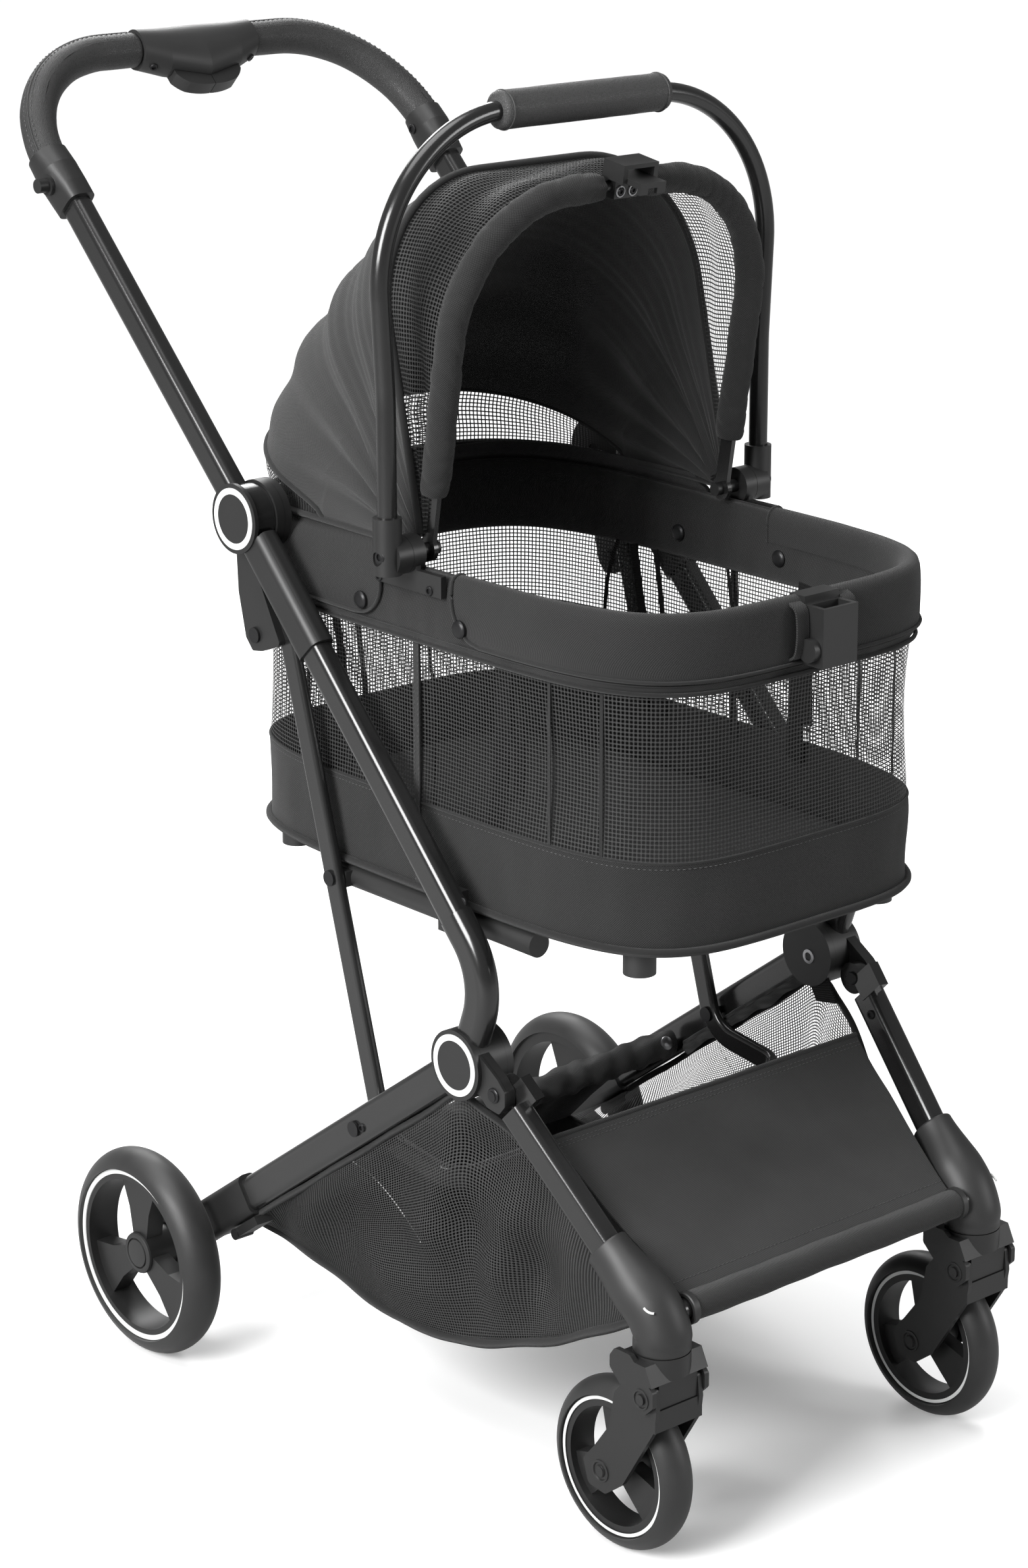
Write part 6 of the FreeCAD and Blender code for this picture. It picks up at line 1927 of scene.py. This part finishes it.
@dataclass
class Fittings:
    """Screws, caps and white marks on the hard parts."""

    finishes: Finishes

    def row(self, name: str, body: Body, radius: float, spots: Spots) -> None:
        """Sets screws with hexagon sockets on one body.

        Args:
            name: Name of the piece that they make.
            body: The body that they ride on.
            radius: Radius of a head.
            spots: Each screw's place and the way it faces.
        """
        screw = turned("screw_head", [(-0.0005, radius), (0.0010, radius), (0.0015, radius * 0.9),
                                      (0.0016, radius * 0.52), (0.0004, radius * 0.5)], 18)
        clad(copies(name, screw, spots), self.finishes.bolt, Slot.BOLTS, body)

    def pin_rings(self, name: str, body: Body, ring: Piece, spots: Spots) -> None:
        """Sets a moulded ring on each end of a pin."""
        clad(copies(name, ring, spots), self.finishes.plastic, Slot.PLASTIC, body)

    def build(self) -> None:
        """Sets every screw and mark."""
        bracket = both(0.1677, -0.069, 0.6755) + both(0.1677, -0.126, 0.6755)
        panel = [(side.at(0.0482, 0.3593, 0.9922), side.at(0.40, -0.68, -0.62).normalized())
                 for side in Side]
        for name, body, radius, spots in (
                ("bracket_screws", Body.CARRIER, 0.0036, bracket),
                ("socket_screws", Body.CARRIER, 0.0050, both(0.1918, -0.1005, 0.6995)),
                ("collar_screws", Body.PUSH_BAR, 0.0042, both(0.1714, 0.302, 0.9288, -1)),
                ("panel_screws", Body.PUSH_BAR, 0.0034, panel),
                ("knuckle_screws", Body.FRAME, 0.0058, both(0.1929, -0.2235, 0.3255)),
                ("knuckle_inner_screws", Body.FRONT_LEGS, 0.0052, both(0.1736, -0.2235, 0.3255, -1)),
                ("leg_screws", Body.FRONT_LEGS, 0.0036, both(0.1706, -0.2476, 0.3028, -1)),
                ("tube_screws", Body.FRAME, 0.0040, both(0.1806, -0.1765, 0.4568)),
                ("leg_rivets", Body.FRAME, 0.0034, both(0.1965, -0.0756, 0.2556))):
            self.row(name, body, radius, spots)
        for side, body in ((Side.LEFT, Body.FORK_LEFT), (Side.RIGHT, Body.FORK_RIGHT)):
            ring = turned("axle_ring", [
                (-0.0004, 0.0086), (0.0006, 0.0084), (0.0008, 0.0070), (-0.0002, 0.0064), (-0.0003, 0.0048),
                (0.0007, 0.0044), (0.0009, 0.0030)], 40)
            ends = [(side.at(x, -0.329, 0.0655), side.at(way, 0, 0))
                    for x, way in ((0.1840, 1), (0.1380, -1))]
            self.pin_rings(f"axle_rings_{side.label}", body, ring, ends)
        for side, body in ((Side.LEFT, Body.CASTER_LEFT), (Side.RIGHT, Body.CASTER_RIGHT)):
            ring = turned("knee_ring", [(-0.0004, 0.0080), (0.0007, 0.0078), (0.0009, 0.0064),
                                        (-0.0002, 0.0058)], 40)
            ends = [(side.at(0.161 + way * 0.0273, -0.376, 0.141), side.at(way, 0, 0)) for way in (1, -1)]
            self.pin_rings(f"knee_rings_{side.label}", body, ring, ends)
        self.clip_rings()
        self.hub_caps()
        for side in Side:
            self.elbow(side)
        LOG.info("set the screws and caps")

    def clip_rings(self) -> None:
        """Two bright rings with screws on the front of the clip's saddle."""
        base = PIVOT + BOW_UP * 0.2535 + BOW_AHEAD * 0.0071
        spots = [(base + Vector((x, 0, 0)), BOW_AHEAD) for x in (-0.0060, 0.0060)]
        ring = turned("clip_ring", [(-0.0004, 0.0044), (0.0009, 0.0043), (0.0011, 0.0034),
                                    (0.0, 0.0029)], 28)
        clad(copies("clip_rings", ring, spots), self.finishes.pin, Slot.PINS, Body.CANOPY)
        self.row("clip_screws", Body.CANOPY, 0.0028, spots)

    def elbow(self, side: Side) -> None:
        """Moulded elbow, bent in one smooth sweep from the slanted leg to the upright swivel.

        Args:
            side: The side of its front leg.
        """
        top, foot = side.at(0.168, -0.317, 0.232), side.at(0.161, -0.368, 0.1696)
        crown = foot + UP * 0.0215
        way = (crown - top).normalized()
        line = curved([top, top + way * 0.014, top + way * 0.028, crown - way * 0.0120, crown - UP * 0.0080,
                       foot + UP * 0.006, foot], 10)

        def radius(u: float, v: float) -> float:
            """Radius at a share round and along."""
            grow = min(1.0, v / 0.5)
            grow = grow * grow * (3 - 2 * grow)
            turn = 2 * math.pi * u
            oval = 1 / math.sqrt((math.cos(turn) / 0.0128) ** 2 + (math.sin(turn) / 0.0162) ** 2)
            full = oval + (0.021 - oval) * grow + 0.0022 * (1 - grow)
            lip = min(1.0, v / 0.006, (1 - v) / 0.008)
            return full * (0.975 + 0.025 * math.sqrt(max(lip, 0.0)))

        elbow = sleeve(f"elbow_cover_{side.label}", line, radius, Vector((1, 0.001, 0.001)), 48, 110)
        clad(elbow, self.finishes.soft_plastic, Slot.PLASTIC, Body.FRONT_LEGS)
        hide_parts(f"elbow_{side.label}")
        out, around = side.at(0.84, -0.26, 0.48).normalized(), side.at(-0.26, -0.84, -0.24).normalized()
        # Small white crescent on the face of the elbow.
        spot = side.at(0.1786, -0.3728, 0.2040)
        tick = Run(tuple(
            spot + around * (0.0042 * k) + out * (0.0004 - 0.0009 * k * k) + UP * (0.0011 * k * k)
            for k in (-1.0, -0.5, 0.0, 0.5, 1.0)))
        mark = sleeve(f"elbow_mark_{side.label}", tick, lambda u, v: 0.0009, Vector((0.3, 1, 0.1)), 10, 16)
        clad(mark, self.finishes.white, Slot.PLASTIC, Body.FRONT_LEGS)

    def hub_caps(self) -> None:
        """Domed caps on the rear hubs, each in its own groove."""
        for side, body in ((Side.LEFT, Body.REAR_WHEEL_LEFT), (Side.RIGHT, Body.REAR_WHEEL_RIGHT)):
            cap = turned(f"rear_hub_cap_{side.label}", [
                (0, 0.0168), (0.0014, 0.0165), (0.0022, 0.0152), (0.0022, 0.0128), (0.0006, 0.0124),
                (0.0006, 0.0118), (0.0024, 0.0113), (0.0030, 0.0080)], 48)
            seat(cap, facing(side.at(0.2370, 0.163, 0.085), side.at(1, 0, 0)))
            clad(cap, self.finishes.soft_plastic, Slot.RIM, body)


# --- studio


@dataclass(frozen=True)
class Studio:
    """Plain pale floor, soft light and the camera."""

    floor_half: float = 40.0
    ambient: float = 0.30
    bounce: float = 0.4
    glow: float = 0.16
    sun_power: float = 2.3
    sun_degrees: float = 50.0
    target: tuple[float, float, float] = (0.0, -0.1, 0.5)
    lens: float = 88.54
    shift: tuple[float, float] = (-0.0326, -0.0224)
    eye: tuple[float, float, float] = (-1.8612, -2.1812, 1.3682)
    tilt_degrees: tuple[float, float, float] = (90 - 16.93, -0.06, -41.55)
    lamps: tuple[tuple[str, tuple[float, float, float], float, float], ...] = (
        ("key", (-3.0, -0.5, 2.0), 1.6, 170.0),
        ("fill", (1.9, -2.9, 1.5), 1.2, 34.0),
        ("back", (1.2, 2.5, 2.3), 1.6, 55.0),
    )

    @staticmethod
    def placed(name: str, data: bpy.types.ID) -> Piece:
        """New object of a lamp or camera, in the scene."""
        item = bpy.data.objects.new(name, data)
        bpy.context.scene.collection.objects.link(item)
        return item

    def build(self, low: float) -> None:
        """Sets up the studio.

        Args:
            low: Height of the floor.
        """
        self.floor(low)
        self.walls()
        self.lights()
        self.camera()

    def floor(self, low: float) -> None:
        """Pale floor that glows a little, and casts less light than it shows."""
        deselect()
        bpy.ops.mesh.primitive_plane_add(size=2 * self.floor_half, location=(0, 0, low - 0.0005))
        floor = seat(fresh("studio_floor"), Matrix.Identity(4))
        bench = Nodes("pale_floor")
        shown = bench.node("LightPath").outputs["Is Camera Ray"]
        pale = bench.blend(bench.grain(3, 3), grey(0.9), grey(0.95))
        dress(floor, bench.surface({
            "Base Color": bench.blend(shown, grey(self.bounce), pale), "Roughness": 0.8,
            "Emission Color": grey(1.0), "Emission Strength": bench.maths("MULTIPLY", shown, self.glow)}))
        floor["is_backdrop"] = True

    def walls(self) -> None:
        """White surroundings, dimmer as light than to the eye."""
        world = bpy.data.worlds.new("white_studio")
        bpy.context.scene.world = world
        world.use_nodes = True
        tree = world.node_tree
        wall, dim = tree.nodes["Background"], tree.nodes.new("ShaderNodeBackground")
        wall.inputs["Color"].default_value = grey(1.0)
        wall.inputs["Strength"].default_value = 1.0
        dim.inputs["Strength"].default_value = self.ambient
        seen, mix = tree.nodes.new("ShaderNodeLightPath"), tree.nodes.new("ShaderNodeMixShader")
        out = tree.nodes["World Output"].inputs["Surface"]
        for source, socket in (
                (seen.outputs["Is Camera Ray"], mix.inputs[0]), (dim.outputs[0], mix.inputs[1]),
                (wall.outputs[0], mix.inputs[2]), (mix.outputs[0], out)):
            tree.links.new(source, socket)
        bpy.context.scene.view_settings.view_transform = "Standard"

    def lights(self) -> None:
        """Soft boxes aimed at the stroller, and a broad light overhead."""
        for name, place, size, power in self.lamps:
            lamp = bpy.data.lights.new(name + "_softbox", "AREA")
            lamp.shape, lamp.size, lamp.energy = "SQUARE", size, power
            holder = self.placed(lamp.name, lamp)
            holder.location = place
            holder.rotation_euler = (Vector(place) - Vector(self.target)).to_track_quat("Z", "Y").to_euler()
        sky = bpy.data.lights.new("overhead", "SUN")
        sky.energy, sky.angle = self.sun_power, math.radians(self.sun_degrees)
        self.placed("overhead", sky).rotation_euler = (math.radians(-8), math.radians(-10), 0)

    def camera(self) -> None:
        """Camera at the height of an eye, in front on the stroller's right."""
        view = bpy.data.cameras.new("camera")
        view.lens, view.sensor_width = self.lens, 36.0
        view.shift_x, view.shift_y = self.shift
        eye = self.placed("camera", view)
        eye.location = self.eye
        eye.rotation_euler = tuple(math.radians(angle) for angle in self.tilt_degrees)
        bpy.context.scene.camera = eye


def corners(bounds: Iterable[Vector]) -> list[list[float]]:
    """Lowest and highest corners as plain lists."""
    return [[round(float(value), 6) for value in corner] for corner in bounds]


def main() -> None:
    """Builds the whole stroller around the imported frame."""
    logging.basicConfig(level=logging.INFO, format="%(message)s")
    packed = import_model()
    deselect()
    cad_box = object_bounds()
    finishes = Finishes()
    PackedFrame(packed["nodes"], finishes).dress()
    Carrier(finishes).build()
    RimTrim(finishes).build()
    Canopy(finishes).build()
    Basket(finishes).build()
    Grips(finishes).build()
    Fittings(finishes).build()
    Studio().build(cad_box[0][2])
    {"cad": corners(cad_box), "visual": corners(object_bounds())}


if __name__ == "__main__":
    main()
